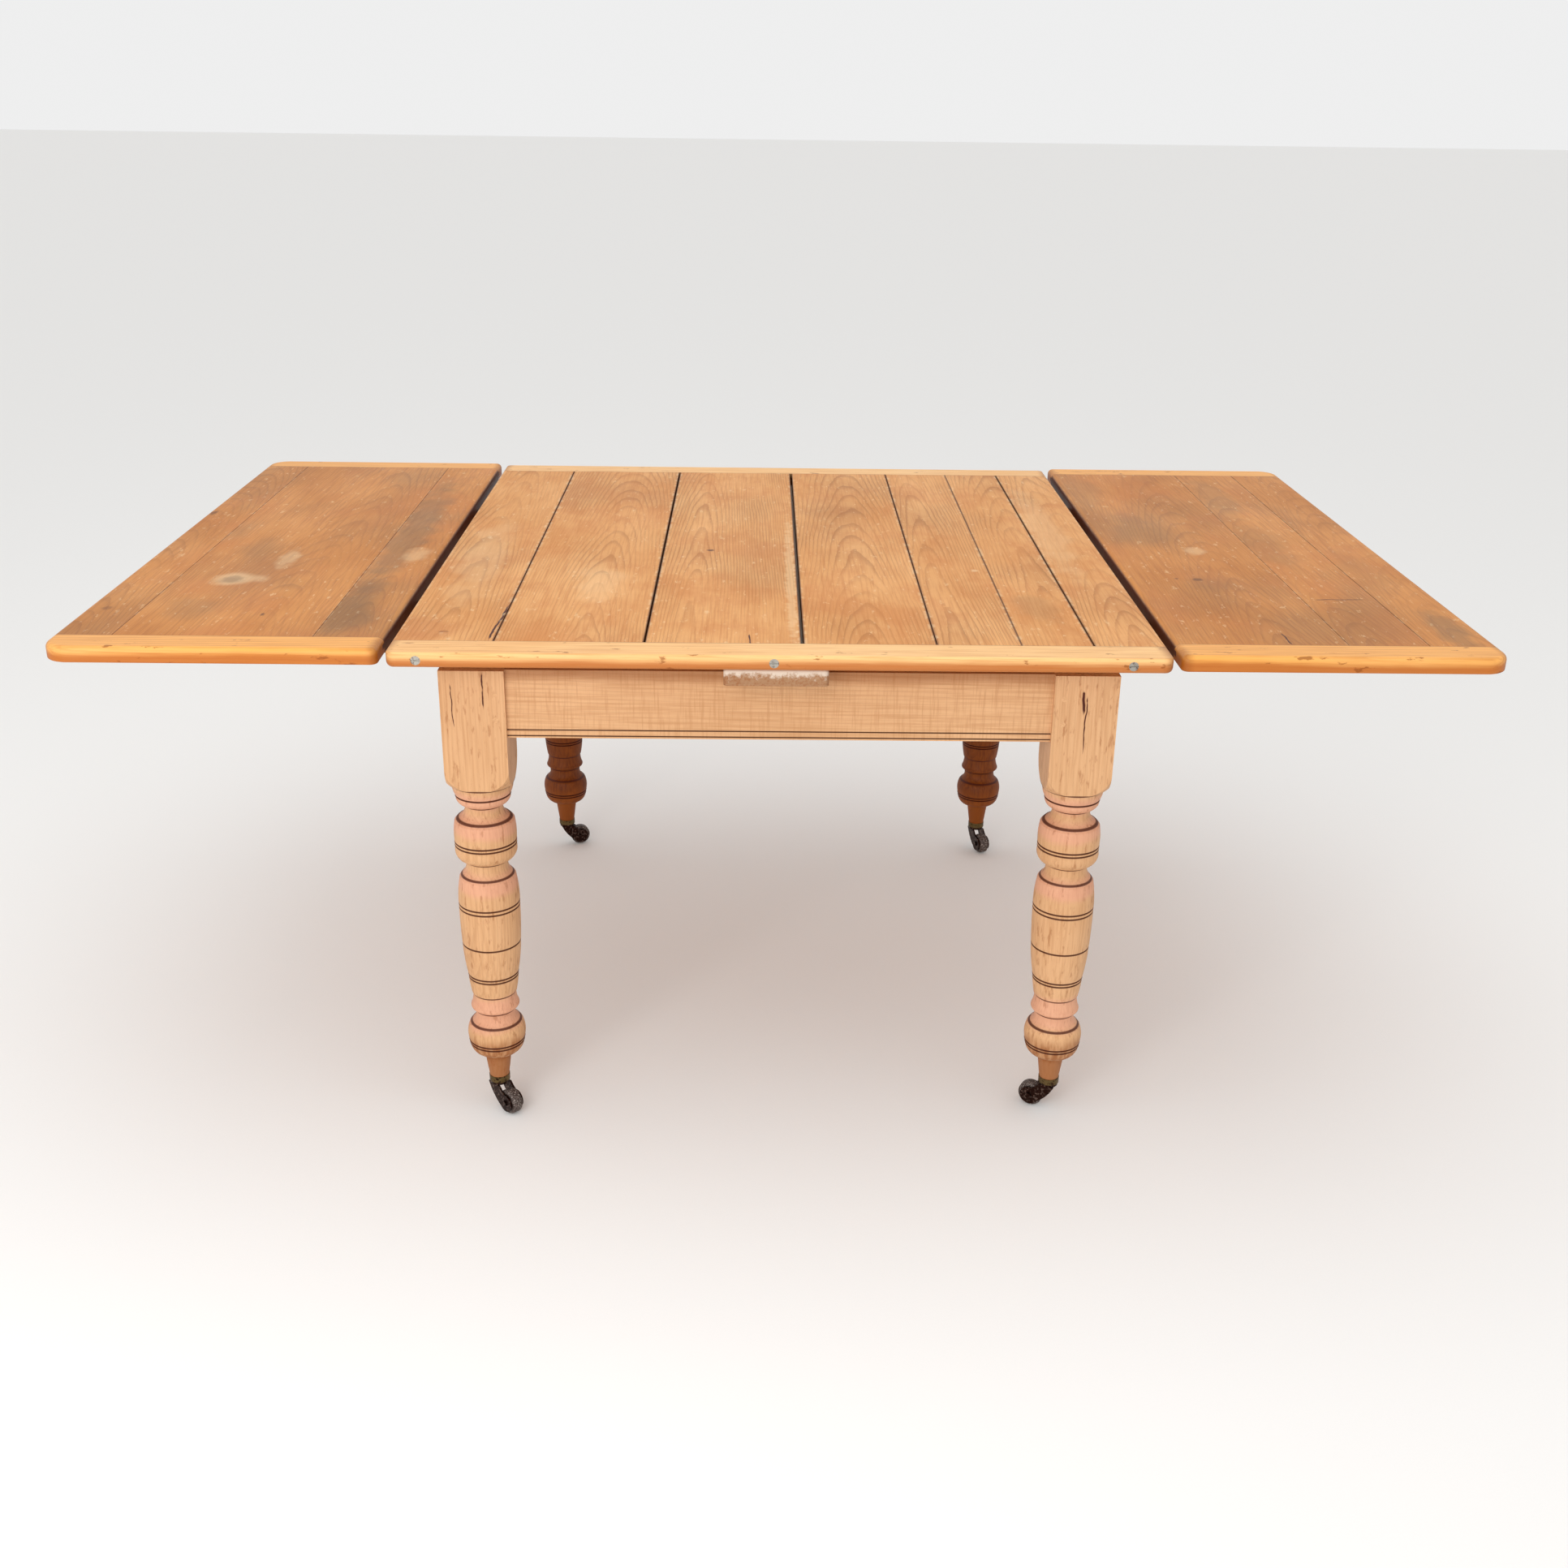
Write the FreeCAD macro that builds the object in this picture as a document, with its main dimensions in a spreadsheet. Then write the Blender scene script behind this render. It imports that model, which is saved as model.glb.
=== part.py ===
"""Draw-leaf dining table in pine: a loose main top, two sliding leaves, four turned legs, castors.

The table stands on Z = 0 with its long side along X, and its origin is at the middle of its
footprint.  The leaves are drawn out.  Every length is in millimetres.
"""
import FreeCAD, Part
import math
import os
import Sketcher
from FreeCAD import Placement, Rotation, Vector

DRIVING = {
    "table_height": 760, "top_length": 1040, "top_depth": 1170, "board_thick": 22,
    "clamp_width": 53, "tongue_thick": 7, "tongue_reach": 12, "edge_round": 8, "edge_fine": 3,
    "under_round": 2,
    "top_corner_round": 10, "leaf_corner_round": 34,
    "leaf_length": 440.4, "leaf_gap": 10.6, "leaf_proud": 4, "leaf_travel": 451, "leaf_drop": 26,
    "frame_top": 715.5, "leg_square": 89, "leg_spread_x": 419, "leg_spread_y": 482.5,
    "block_bottom": 537, "block_shoulder": 30, "block_reach": 63,
    "shoulder_start": 1, "overcut": 5, "runner_setback": 2, "tip_height": 50,
    "apron_thick": 22, "apron_bottom": 617, "apron_setback": 7,
    "tenon_thick": 9, "tenon_length": 27.5, "tenon_clearance": 0.5,
    "tenon_bottom": 627, "tenon_top": 700,
    "bead_low": 619.5, "bead_high": 628, "quirk_width": 1.5, "quirk_depth": 2,
    "draw_peg_dia": 8, "draw_peg_length": 32, "draw_peg_inset": 14,
    "draw_peg_low": 645, "draw_peg_high": 682,
    "bearer_width": 140, "bearer_shift": -6, "bearer_length": 1158, "bearer_round": 6,
    "guide_peg_dia": 12, "guide_peg_below": 22, "guide_peg_above": 12, "guide_peg_y": 400,
    "peg_clearance": 0.1, "slide_clearance": 0.5, "seat_clearance": 0.3,
    "rail_centre": 58, "rail_thick": 20, "rail_bottom": 640,
    "rail_tenon_thick": 10, "rail_tenon_length": 10, "rail_tenon_low": 655, "rail_tenon_high": 700,
    "runner_thick": 28, "left_runner_y": 290, "right_runner_y": 350,
    "runner_seat": 688, "runner_outer": 930, "runner_tail": 30,
    "stop_peg_dia": 10, "stop_peg_length": 54, "stop_peg_x": 42, "stop_peg_room": 4,
    "tail_level_x": 80,
    "leaf_screw_outer": 860, "leaf_screw_inner": 600, "leaf_screw_head_z": 728,
    "leaf_screw_head": 9, "leaf_screw_head_thick": 3, "leaf_screw_shank": 5,
    "leaf_screw_tip_z": 754,
    "clamp_screw_head": 13, "clamp_screw_head_thick": 3, "clamp_screw_shank": 6,
    "clamp_screw_length": 83, "clamp_screw_sink": 0.5,
    "clamp_screw_slot": 1.6, "clamp_screw_slot_depth": 1.2,
    "clamp_screw_left": -480, "clamp_screw_middle": -9, "clamp_screw_right": 466,
    "bearer_screw_x": 40, "bearer_screw_head": 10, "bearer_screw_head_thick": 4,
    "bearer_screw_shank": 5, "bearer_screw_length": 55,
    "edge_screw_y": 519, "edge_screw_head": 8, "edge_screw_proud": 1.5,
    "edge_screw_sunk": 14, "edge_screw_z": 751,
    "collar_radius": 15.5, "collar_top": 57, "collar_bottom": 47.5,
    "spigot_dia": 8, "spigot_length": 34, "socket_depth": 36, "running_clearance": 0.05,
    "fork_plate_dia": 28, "fork_plate_low": 43, "fork_plate_thick": 4,
    "cheek_thick": 3, "cheek_gap": 1, "horn_root": 12.5, "horn_back": 11, "horn_front": 11.5,
    "horn_low": 8.7, "horn_high": 8, "castor_trail": 26, "wheel_radius": 19,
    "wheel_width": 16, "wheel_chamfer": 3, "hub_radius": 14, "axle_dia": 6,
    "rivet_dia": 9, "rivet_thick": 2.5,
    "groove_width": 2.4, "groove_depth": 1.6,
}
TOP_BOARDS = (134.4, 199.6, 208.5, 178.0, 113.4, 96.6, 96.5)
TOP_SEAMS = (1.5, 3.0, 4.5, 1.5, 0.5, 2.0)
# Widths run from the leaf's outer edge inwards.
LEAF_BOARDS = {"left": (78.7, 266.3, 94.4), "right": (94.2, 109.2, 235.8)}
LEAF_SEAMS = {"left": (0.5, 0.5), "right": (0.7, 0.5)}

# The turned leg from its foot up: name, height, radius, and how far the stretch that
# leads up from there swells (+) or hollows (-).  "groove" marks a cut V line.
TURNING = (
    ("foot_tip", 50, 13.5, 0), ("foot_seat", 57, 13.5, 0), ("foot_low", 57, 14.6, 0),
    ("foot_high", 96, 20, 0), ("ball_start", 98, 22, 4.2), ("ball_low", 114, 40, 0),
    ("ball_line_a", 118, 40.9, "groove"), ("ball_line_b", 123, 41.8, "groove"),
    ("ball_wide", 127, 42.2, 1.6), ("ball_high", 149, 39.5, 0), ("ball_arris", 152, 37, -3.5),
    ("neck_c", 171, 29.8, 0), ("ring_under", 173, 30.5, 0), ("ring_wide", 177, 35, 0.8),
    ("ring_edge", 182, 34.6, -0.8), ("ring_top", 200, 31.4, 0),
    ("vase_foot", 202, 33, 0.4), ("vase_line_a", 229, 36.6, "groove"),
    ("vase_line_b", 234, 37.2, "groove"), ("vase_low", 236, 37.4, 0.9),
    ("vase_line_c", 285, 42.4, "groove"), ("vase_middle", 287, 42.6, 0.4),
    ("vase_line_d", 344, 44.1, "groove"), ("vase_line_e", 350, 44.2, "groove"),
    ("vase_wide", 353, 44.3, 0.9), ("vase_high", 391, 40.5, 0), ("vase_arris", 395, 37.5, -3.5),
    ("neck_b", 416, 30.7, 0), ("bulb_start", 418, 33, 4.4), ("bulb_low", 438, 44, 0),
    ("bulb_line_a", 443, 44.3, "groove"), ("bulb_line_b", 448, 44.4, "groove"),
    ("bulb_wide", 451, 44.4, 0.9), ("bulb_high", 479, 42.6, 0), ("bulb_arris", 483, 39, -4.2),
    ("neck_a", 503, 27, 0), ("cup_start", 505, 28, 3.4), ("cup_low", 518, 39, 0),
    ("cup_line_a", 520, 39.6, "groove"), ("cup_middle", 522, 40, 0.9),
    ("block_root", 537, 43.6, 0), ("block_inside", 560, 43.6, 0),
)

doc = FreeCAD.newDocument("draw_leaf_table")
sheet = doc.addObject("Spreadsheet::Sheet", "size")
sub_parts = []


def fill_sheet():
    """Write each driving dimension to a cell of the sheet and name it."""
    cells = dict(DRIVING)
    for index, width in enumerate(TOP_BOARDS, 1):
        cells["top_board_%d_width" % index] = width
    for index, width in enumerate(TOP_SEAMS, 1):
        cells["top_seam_%d_width" % index] = width
    for side in ("left", "right"):
        for index, width in enumerate(LEAF_BOARDS[side], 1):
            cells["%s_leaf_board_%d_width" % (side, index)] = width
        for index, width in enumerate(LEAF_SEAMS[side], 1):
            cells["%s_leaf_seam_%d_width" % (side, index)] = width
    for name, height, radius, _ in TURNING:
        cells[name + "_height"] = height
        cells[name + "_radius"] = radius
    for row, (alias, value) in enumerate(cells.items(), 1):
        sheet.set("A%d" % row, alias)
        sheet.set("B%d" % row, str(value))
        sheet.setAlias("B%d" % row, alias)
    doc.recompute()


def val(expression):
    """Work out the number that an expression on the sheet's cells gives."""
    return float(sheet.evalExpression(str(expression)))


# ---------------------------------------------------------------- feature helpers


def new_body(label, at=(0, 0, 0), turn=0):
    """Start a sub-part whose own frame stands at a point and is turned about Z."""
    body = doc.addObject("PartDesign::Body", label)
    body.Label = label
    body.Placement = Placement(Vector(0, 0, 0), Rotation(Vector(0, 0, 1), turn))
    for axis, expression in zip("xyz", at):
        body.setExpression("Placement.Base." + axis, str(expression))
    sub_parts.append(body)
    return body


def new_sketch(body, name, plane, at):
    """Attach a sketch to one of the body's own origin planes, shifted by an offset."""
    sketch = body.newObject("Sketcher::SketchObject", name + "_sketch")
    support = [item for item in body.Origin.OriginFeatures if item.Role == plane][0]
    sketch.AttachmentSupport = (support, [""])
    sketch.MapMode = "FlatFace"
    for axis, expression in zip("xyz", at):
        sketch.setExpression("AttachmentOffset.Base." + axis, str(expression))
    return sketch


def arc_through(start, end, bulge):
    """Make an arc between two points that stands out to the right of the way it runs."""
    along = end - start
    outward = Vector(along.y, -along.x, 0).normalize()
    return Part.Arc(start, (start + end) * 0.5 + outward * bulge, end)


def draw_outline(sketch, points):
    """Draw a closed outline; each point is (x, y, bulge of the stretch after it)."""
    places = [Vector(val(x), val(y), 0) for x, y, _ in points]
    count = len(points)
    starts = []
    ends = []
    radii = []
    for index, (_, _, bulge) in enumerate(points):
        start, end = places[index], places[(index + 1) % count]
        if bulge:
            curve = arc_through(start, end, bulge)
            half_chord = start.distanceToPoint(end) / 2
            radii.append((index, (half_chord ** 2 + bulge ** 2) / (2 * abs(bulge))))
        else:
            curve = Part.LineSegment(start, end)
        sketch.addGeometry(curve, False)
        forward = sketch.getPoint(index, 1).distanceToPoint(start) < 1e-6
        starts.append(1 if forward else 2)
        ends.append(2 if forward else 1)
    rules = []
    for index in range(count):
        following = (index + 1) % count
        rules.append(Sketcher.Constraint("Coincident", index, ends[index],
                                         following, starts[following]))
    for index, place in enumerate(places):
        rules.append(Sketcher.Constraint("DistanceX", -1, 1, index, starts[index], place.x))
        rules.append(Sketcher.Constraint("DistanceY", -1, 1, index, starts[index], place.y))
    for index, radius in radii:
        rules.append(Sketcher.Constraint("Radius", index, radius))
    sketch.addConstraint(rules)
    for index, (x, y, _) in enumerate(points):
        sketch.setExpression("Constraints[%d]" % (count + 2 * index), str(x))
        sketch.setExpression("Constraints[%d]" % (count + 2 * index + 1), str(y))


def draw_circles(sketch, centres, diameter):
    """Draw circles of one diameter at the given centres."""
    for index, (x, y) in enumerate(centres):
        centre = Vector(val(x), val(y), 0)
        sketch.addGeometry(Part.Circle(centre, Vector(0, 0, 1), val(diameter) / 2), False)
        width = sketch.addConstraint(Sketcher.Constraint("Diameter", index, val(diameter)))
        across = sketch.addConstraint(Sketcher.Constraint("DistanceX", -1, 1, index, 3, centre.x))
        upward = sketch.addConstraint(Sketcher.Constraint("DistanceY", -1, 1, index, 3, centre.y))
        sketch.setExpression("Constraints[%d]" % width, str(diameter))
        sketch.setExpression("Constraints[%d]" % across, str(x))
        sketch.setExpression("Constraints[%d]" % upward, str(y))


def finish_feature(body, name, sketch, length, cut):
    """Pad or pocket a sketch, and check that a pocket really takes wood away."""
    before = body.Shape.Volume if cut else 0
    feature = body.newObject("PartDesign::Pocket" if cut else "PartDesign::Pad", name)
    feature.Profile = sketch
    feature.setExpression("Length", str(length))
    sketch.Visibility = False
    doc.recompute()
    if cut and before - body.Shape.Volume < 0.01:
        raise RuntimeError("%s in %s cuts nothing" % (name, body.Label))
    return feature


def add_block(body, name, low, extent, cut=False):
    """Add a rectangular block to the body, or cut one out of it."""
    x, y, z = low
    width, depth, height = extent
    base = "%s + %s" % (z, height) if cut else str(z)
    sketch = new_sketch(body, name, "XY_Plane", (x, y, base))
    draw_outline(sketch, ((0, 0, 0), (width, 0, 0), (width, depth, 0), (0, depth, 0)))
    return finish_feature(body, name, sketch, height, cut)


def add_rods(body, name, axis, centres, diameter, start, length, cut=False):
    """Add rods along an axis, or drill holes; centres are in the other two axes."""
    end = "%s + %s" % (start, length)
    plane = {"X": "YZ_Plane", "Y": "XZ_Plane", "Z": "XY_Plane"}[axis]
    if axis == "Y":
        base = "-(%s)" % (start if cut else end)
    else:
        base = end if cut else start
    sketch = new_sketch(body, name, plane, (0, 0, base))
    draw_circles(sketch, centres, diameter)
    return finish_feature(body, name, sketch, length, cut)


def add_plate(body, name, points, start, thick):
    """Pad an outline in X and Z so that it fills from start to start + thick in Y."""
    sketch = new_sketch(body, name, "XZ_Plane", (0, 0, "-(%s + %s)" % (start, thick)))
    draw_outline(sketch, points)
    return finish_feature(body, name, sketch, thick, False)


def add_turning(body, name, plane, axis, points, cut=False):
    """Revolve an outline once round an axis of its sketch."""
    sketch = new_sketch(body, name, plane, (0, 0, 0))
    draw_outline(sketch, points)
    before = body.Shape.Volume if cut else 0
    feature = body.newObject("PartDesign::Groove" if cut else "PartDesign::Revolution", name)
    feature.Profile = sketch
    feature.ReferenceAxis = (sketch, [axis])
    feature.Angle = 360
    sketch.Visibility = False
    doc.recompute()
    if cut and before - body.Shape.Volume < 0.01:
        raise RuntimeError("%s in %s cuts nothing" % (name, body.Label))
    return feature


def round_edges(body, name, radius, wanted):
    """Round each edge of the body that the test picks out."""
    base = body.Tip
    names = ["Edge%d" % number for number, edge in enumerate(base.Shape.Edges, 1)
             if wanted(edge)]
    if not names:
        raise RuntimeError("%s in %s finds no edge" % (name, body.Label))
    fillet = body.newObject("PartDesign::Fillet", name)
    fillet.Base = (base, names)
    fillet.setExpression("Radius", str(radius))
    doc.recompute()
    return fillet


def runs_along(edge, axis, **at):
    """Say whether an edge is straight along an axis and passes the given coordinates."""
    box = edge.BoundBox
    spans = {"x": box.XLength, "y": box.YLength, "z": box.ZLength}
    if any(span > 0.01 for key, span in spans.items() if key != axis):
        return False
    middle = {"x": box.Center.x, "y": box.Center.y, "z": box.Center.z}
    return all(min(abs(middle[key] - place) for place in places) < 0.01
               for key, places in at.items())


# ---------------------------------------------------------------- shared places

TOP_UNDER = "(size.table_height - size.board_thick)"
HALF_TOP = "(size.top_length / 2)"
HALF_DEPTH = "(size.top_depth / 2)"
BOARD_REACH = "(size.top_depth / 2 - size.clamp_width)"
LEAF_UNDER = "(size.table_height + size.leaf_proud - size.board_thick)"
LEAF_INNER = "(size.top_length / 2 + size.leaf_gap)"
MID_TONGUE = "(size.board_thick / 2 - size.tongue_thick / 2)"
APRON_Y = "(size.leg_spread_y + size.leg_square / 2 - size.apron_setback - size.apron_thick / 2)"
APRON_X = "(size.leg_spread_x + size.leg_square / 2 - size.apron_setback - size.apron_thick / 2)"
SLOPE = "(size.leaf_drop / size.leaf_travel)"
PEG_BORE = "(size.guide_peg_dia + 2 * size.peg_clearance)"
HALF_WHEEL = "(size.wheel_width / 2)"
CHEEK_INNER = "(size.wheel_width / 2 + size.cheek_gap)"


def runner_bottom(x):
    """Height of a runner's lower edge, x being measured outwards from the table's middle."""
    seat = "(%s - size.apron_thick / 2)" % APRON_X
    return "(size.runner_seat + size.seat_clearance + %s * (%s - %s))" % (SLOPE, x, seat)


def tail_top(x):
    """Height of the upper edge of a runner's tail, which slides just under the bearer."""
    return "(size.frame_top - size.slide_clearance + %s * (%s - size.tail_level_x))" % (SLOPE, x)


# ---------------------------------------------------------------- table tops


def build_board(label, at, width, turn=0, rounds=()):
    """A board along Y with a tongue on each end.

    Each round gives the X and Z of a long edge that is rounded off, and its radius.
    """
    body = new_body(label, at, turn)
    add_block(body, "board", (0, "-" + BOARD_REACH, 0),
              (width, "2 * " + BOARD_REACH, "size.board_thick"))
    tongue_length = "(2 * %s + 2 * size.tongue_reach)" % BOARD_REACH
    add_block(body, "tongues", (0, "-%s / 2" % tongue_length, MID_TONGUE),
              (width, tongue_length, "size.tongue_thick"))
    reach = 2 * val(BOARD_REACH)
    for index, (x, z, radius) in enumerate(rounds):
        round_edges(body, "worn_edge_%d" % index, radius,
                    lambda edge, x=x, z=z: runs_along(edge, "y", x=(val(x),), z=(val(z),))
                    and edge.Length > reach - 1)
    return body


def build_clamp(label, at, length, turn, corner_radii, rim_radii):
    """A clamp along X over the boards' ends; its front is at Y = 0 and its groove behind.

    Its corners have one radius at each end, and its rim one below and one above.
    """
    body = new_body(label, at, turn)
    half = "(%s / 2)" % length
    add_block(body, "clamp", ("-" + half, 0, 0), (length, "size.clamp_width", "size.board_thick"))
    add_block(body, "tongue_groove", ("-" + half, "size.clamp_width - size.tongue_reach",
                                      MID_TONGUE), (length, "size.tongue_reach",
                                                    "size.tongue_thick"), cut=True)
    end = val(half)
    for name, x, radius in (("first_corner", -end, corner_radii[0]),
                            ("last_corner", end, corner_radii[1])):
        round_edges(body, name, radius,
                    lambda edge, x=x: runs_along(edge, "z", x=(x,), y=(0.0,)))
    inner = val("size.clamp_width")
    thick = val("size.board_thick")

    def on_rim(edge, level):
        box = edge.BoundBox
        return box.ZLength < 0.01 and abs(box.ZMin - level) < 0.01 and box.YMin < inner - 0.01

    for name, level, radius in (("rim_below", 0, rim_radii[0]), ("rim_above", thick, rim_radii[1])):
        round_edges(body, name, radius, lambda edge, level=level: on_rim(edge, level))
    return body


def build_main_top():
    """Seven loose boards between two clamps, with the screws and pegs that they carry."""
    left = "-" + HALF_TOP
    screw_x = ("size.clamp_screw_left", "size.clamp_screw_middle", "size.clamp_screw_right")
    middle = "size.board_thick / 2"
    holes = {1: "size.clamp_screw_left", 3: "size.clamp_screw_middle", 7: "size.clamp_screw_right"}
    count = len(TOP_BOARDS)
    screw_tip = "(%s - size.clamp_screw_sink - size.clamp_screw_length)" % HALF_DEPTH
    bite = "(%s + size.tongue_reach - %s)" % (BOARD_REACH, screw_tip)
    for index in range(1, count + 1):
        width = "size.top_board_%d_width" % index
        outer = {1: 0, count: width}.get(index)
        rounds = () if outer is None else ((outer, 0, "size.edge_round"),
                                           (outer, "size.board_thick", "size.edge_fine"))
        board = build_board("top_board_%d" % index, (left, 0, TOP_UNDER), width, 0, rounds)
        if index in holes:
            centre = (("%s - (%s)" % (holes[index], left), middle),)
            add_rods(board, "front_screw_hole", "Y", centre, "size.clamp_screw_shank",
                     "-(%s + size.tongue_reach)" % BOARD_REACH, bite, cut=True)
            add_rods(board, "back_screw_hole", "Y", centre, "size.clamp_screw_shank",
                     screw_tip, bite, cut=True)
        if index == 3:
            pegs = [("-(%s)" % left, "%s * size.guide_peg_y" % sign) for sign in (-1, 1)]
            add_rods(board, "peg_holes", "Z", pegs, "size.guide_peg_dia", 0,
                     "size.guide_peg_above", cut=True)
        if index in (1, count):
            edge = 0 if index == 1 else "%s - size.edge_screw_sunk" % width
            add_rods(board, "edge_screw_hole", "X",
                     (("-size.edge_screw_y", "size.edge_screw_z - " + TOP_UNDER),),
                     "size.edge_screw_head", edge, "size.edge_screw_sunk", cut=True)
        if index < count:
            left = "%s + %s + size.top_seam_%d_width" % (left, width, index)
    radii = ("size.top_corner_round", "size.top_corner_round")
    for side, turn, sign in (("front", 0, -1), ("back", 180, 1)):
        clamp = build_clamp("top_clamp_" + side, (0, "%d * %s" % (sign, HALF_DEPTH), TOP_UNDER),
                            "size.top_length", turn, radii,
                            ("size.edge_round", "size.edge_fine"))
        centres = [("%d * %s" % (-sign, x), middle) for x in screw_x]
        add_rods(clamp, "screw_holes", "Y", centres, "size.clamp_screw_shank", 0,
                 "size.clamp_width", cut=True)
        add_rods(clamp, "head_holes", "Y", centres, "size.clamp_screw_head", 0,
                 "size.clamp_screw_sink + size.clamp_screw_head_thick", cut=True)
    build_clamp_screws(screw_x)
    build_edge_screws()
    build_guide_pegs()


def build_clamp_screws(screw_x):
    """Six slotted screws, three through each clamp into the boards' ends."""
    body = new_body("clamp_screws", (0, 0, TOP_UNDER + " + size.board_thick / 2"))
    centres = [(x, 0) for x in screw_x]
    face = "(%s - size.clamp_screw_sink)" % HALF_DEPTH
    shank = "(size.clamp_screw_length - size.clamp_screw_head_thick)"
    add_rods(body, "front_heads", "Y", centres, "size.clamp_screw_head", "-" + face,
             "size.clamp_screw_head_thick")
    add_rods(body, "front_shanks", "Y", centres, "size.clamp_screw_shank",
             "-%s + size.clamp_screw_head_thick" % face, shank)
    add_rods(body, "back_heads", "Y", centres, "size.clamp_screw_head",
             "%s - size.clamp_screw_head_thick" % face, "size.clamp_screw_head_thick")
    add_rods(body, "back_shanks", "Y", centres, "size.clamp_screw_shank",
             "%s - size.clamp_screw_length" % face, shank)
    for index, x in enumerate(screw_x):
        for side, start in (("front", "-" + face),
                            ("back", face + " - size.clamp_screw_slot_depth")):
            add_block(body, "%s_slot_%d" % (side, index),
                      ("%s - size.clamp_screw_head / 2 - size.overcut" % x, start,
                       "-size.clamp_screw_slot / 2"),
                      ("size.clamp_screw_head + 2 * size.overcut", "size.clamp_screw_slot_depth",
                       "size.clamp_screw_slot"), cut=True)


def build_edge_screws():
    """Two screws left standing a little out of the main top's end edges."""
    body = new_body("edge_screws", (0, "-size.edge_screw_y", "size.edge_screw_z"))
    length = "size.edge_screw_sunk + size.edge_screw_proud"
    add_rods(body, "left_screw", "X", ((0, 0),), "size.edge_screw_head",
             "-%s - size.edge_screw_proud" % HALF_TOP, length)
    add_rods(body, "right_screw", "X", ((0, 0),), "size.edge_screw_head",
             "%s - size.edge_screw_sunk" % HALF_TOP, length)


def build_guide_pegs():
    """Two pegs under the main top that drop into the centre bearer and keep it square."""
    body = new_body("guide_pegs", (0, 0, TOP_UNDER))
    centres = [(0, "%d * size.guide_peg_y" % sign) for sign in (-1, 1)]
    add_rods(body, "pegs", "Z", centres, "size.guide_peg_dia", "-size.guide_peg_below",
             "size.guide_peg_below + size.guide_peg_above")


# ---------------------------------------------------------------- leaves


def build_leaf(side):
    """One leaf with its boards, clamps, tapered runners, stop pegs and screws.

    The leaf is modelled as the left one, which is the right one turned half round.
    """
    turn = 0 if side == "left" else 180
    sign = -1 if side == "left" else 1
    centre_y = "size.%s_runner_y" % side
    outer = "(%s + size.leaf_length)" % LEAF_INNER
    offset = "0"
    screws = [(x, "%d * %s" % (hand, centre_y)) for hand in (-1, 1)
              for x in ("-size.leaf_screw_outer", "-size.leaf_screw_inner")]
    count = len(LEAF_BOARDS[side])
    for index in range(1, count + 1):
        width = "size.%s_leaf_board_%d_width" % (side, index)
        at = ("%d * (%s - (%s))" % (sign, outer, offset), 0, LEAF_UNDER)
        rounds = {1: ((0, 0, "size.edge_round"), (0, "size.board_thick", "size.edge_round")),
                  count: ((width, "size.board_thick", "size.edge_round"),)}.get(index, ())
        board = build_board("%s_leaf_board_%d" % (side, index), at, width, turn, rounds)
        start = val("-%s + %s" % (outer, offset))
        inside = [(x, y) for x, y in screws if start < val(x) < start + val(width)]
        if inside:
            centres = [("%s + %s - (%s)" % (x, outer, offset), y) for x, y in inside]
            add_rods(board, "screw_holes", "Z", centres, "size.leaf_screw_shank", 0,
                     "size.leaf_screw_tip_z - " + LEAF_UNDER, cut=True)
        if index < count:
            offset = "%s + %s + size.%s_leaf_seam_%d_width" % (offset, width, side, index)
    middle_x = "%d * (%s + size.leaf_length / 2)" % (sign, LEAF_INNER)
    for place, clamp_turn, way in (("front", 0, -1), ("back", 180, 1)):
        radii = ["size.leaf_corner_round", "size.top_corner_round"]
        if (side == "left") != (place == "front"):
            radii.reverse()
        build_clamp("%s_leaf_clamp_%s" % (side, place),
                    (middle_x, "%d * %s" % (way, HALF_DEPTH), LEAF_UNDER),
                    "size.leaf_length", clamp_turn, radii,
                    ("size.under_round", "size.edge_round"))
    for place, hand in (("front", -1), ("back", 1)):
        local = hand if side == "left" else -hand
        build_runner("%s_runner_%s" % (side, place), turn, "%d * %s" % (local, centre_y))
    build_stop_pegs(side, turn, centre_y)
    build_leaf_screws(side, turn, screws)


def stop_peg_centre():
    """Place of a stop peg in X and Z: halfway up the tail of its runner."""
    height = "((%s + %s) / 2)" % (runner_bottom("size.stop_peg_x"), tail_top("size.stop_peg_x"))
    return "-size.stop_peg_x", height


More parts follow.
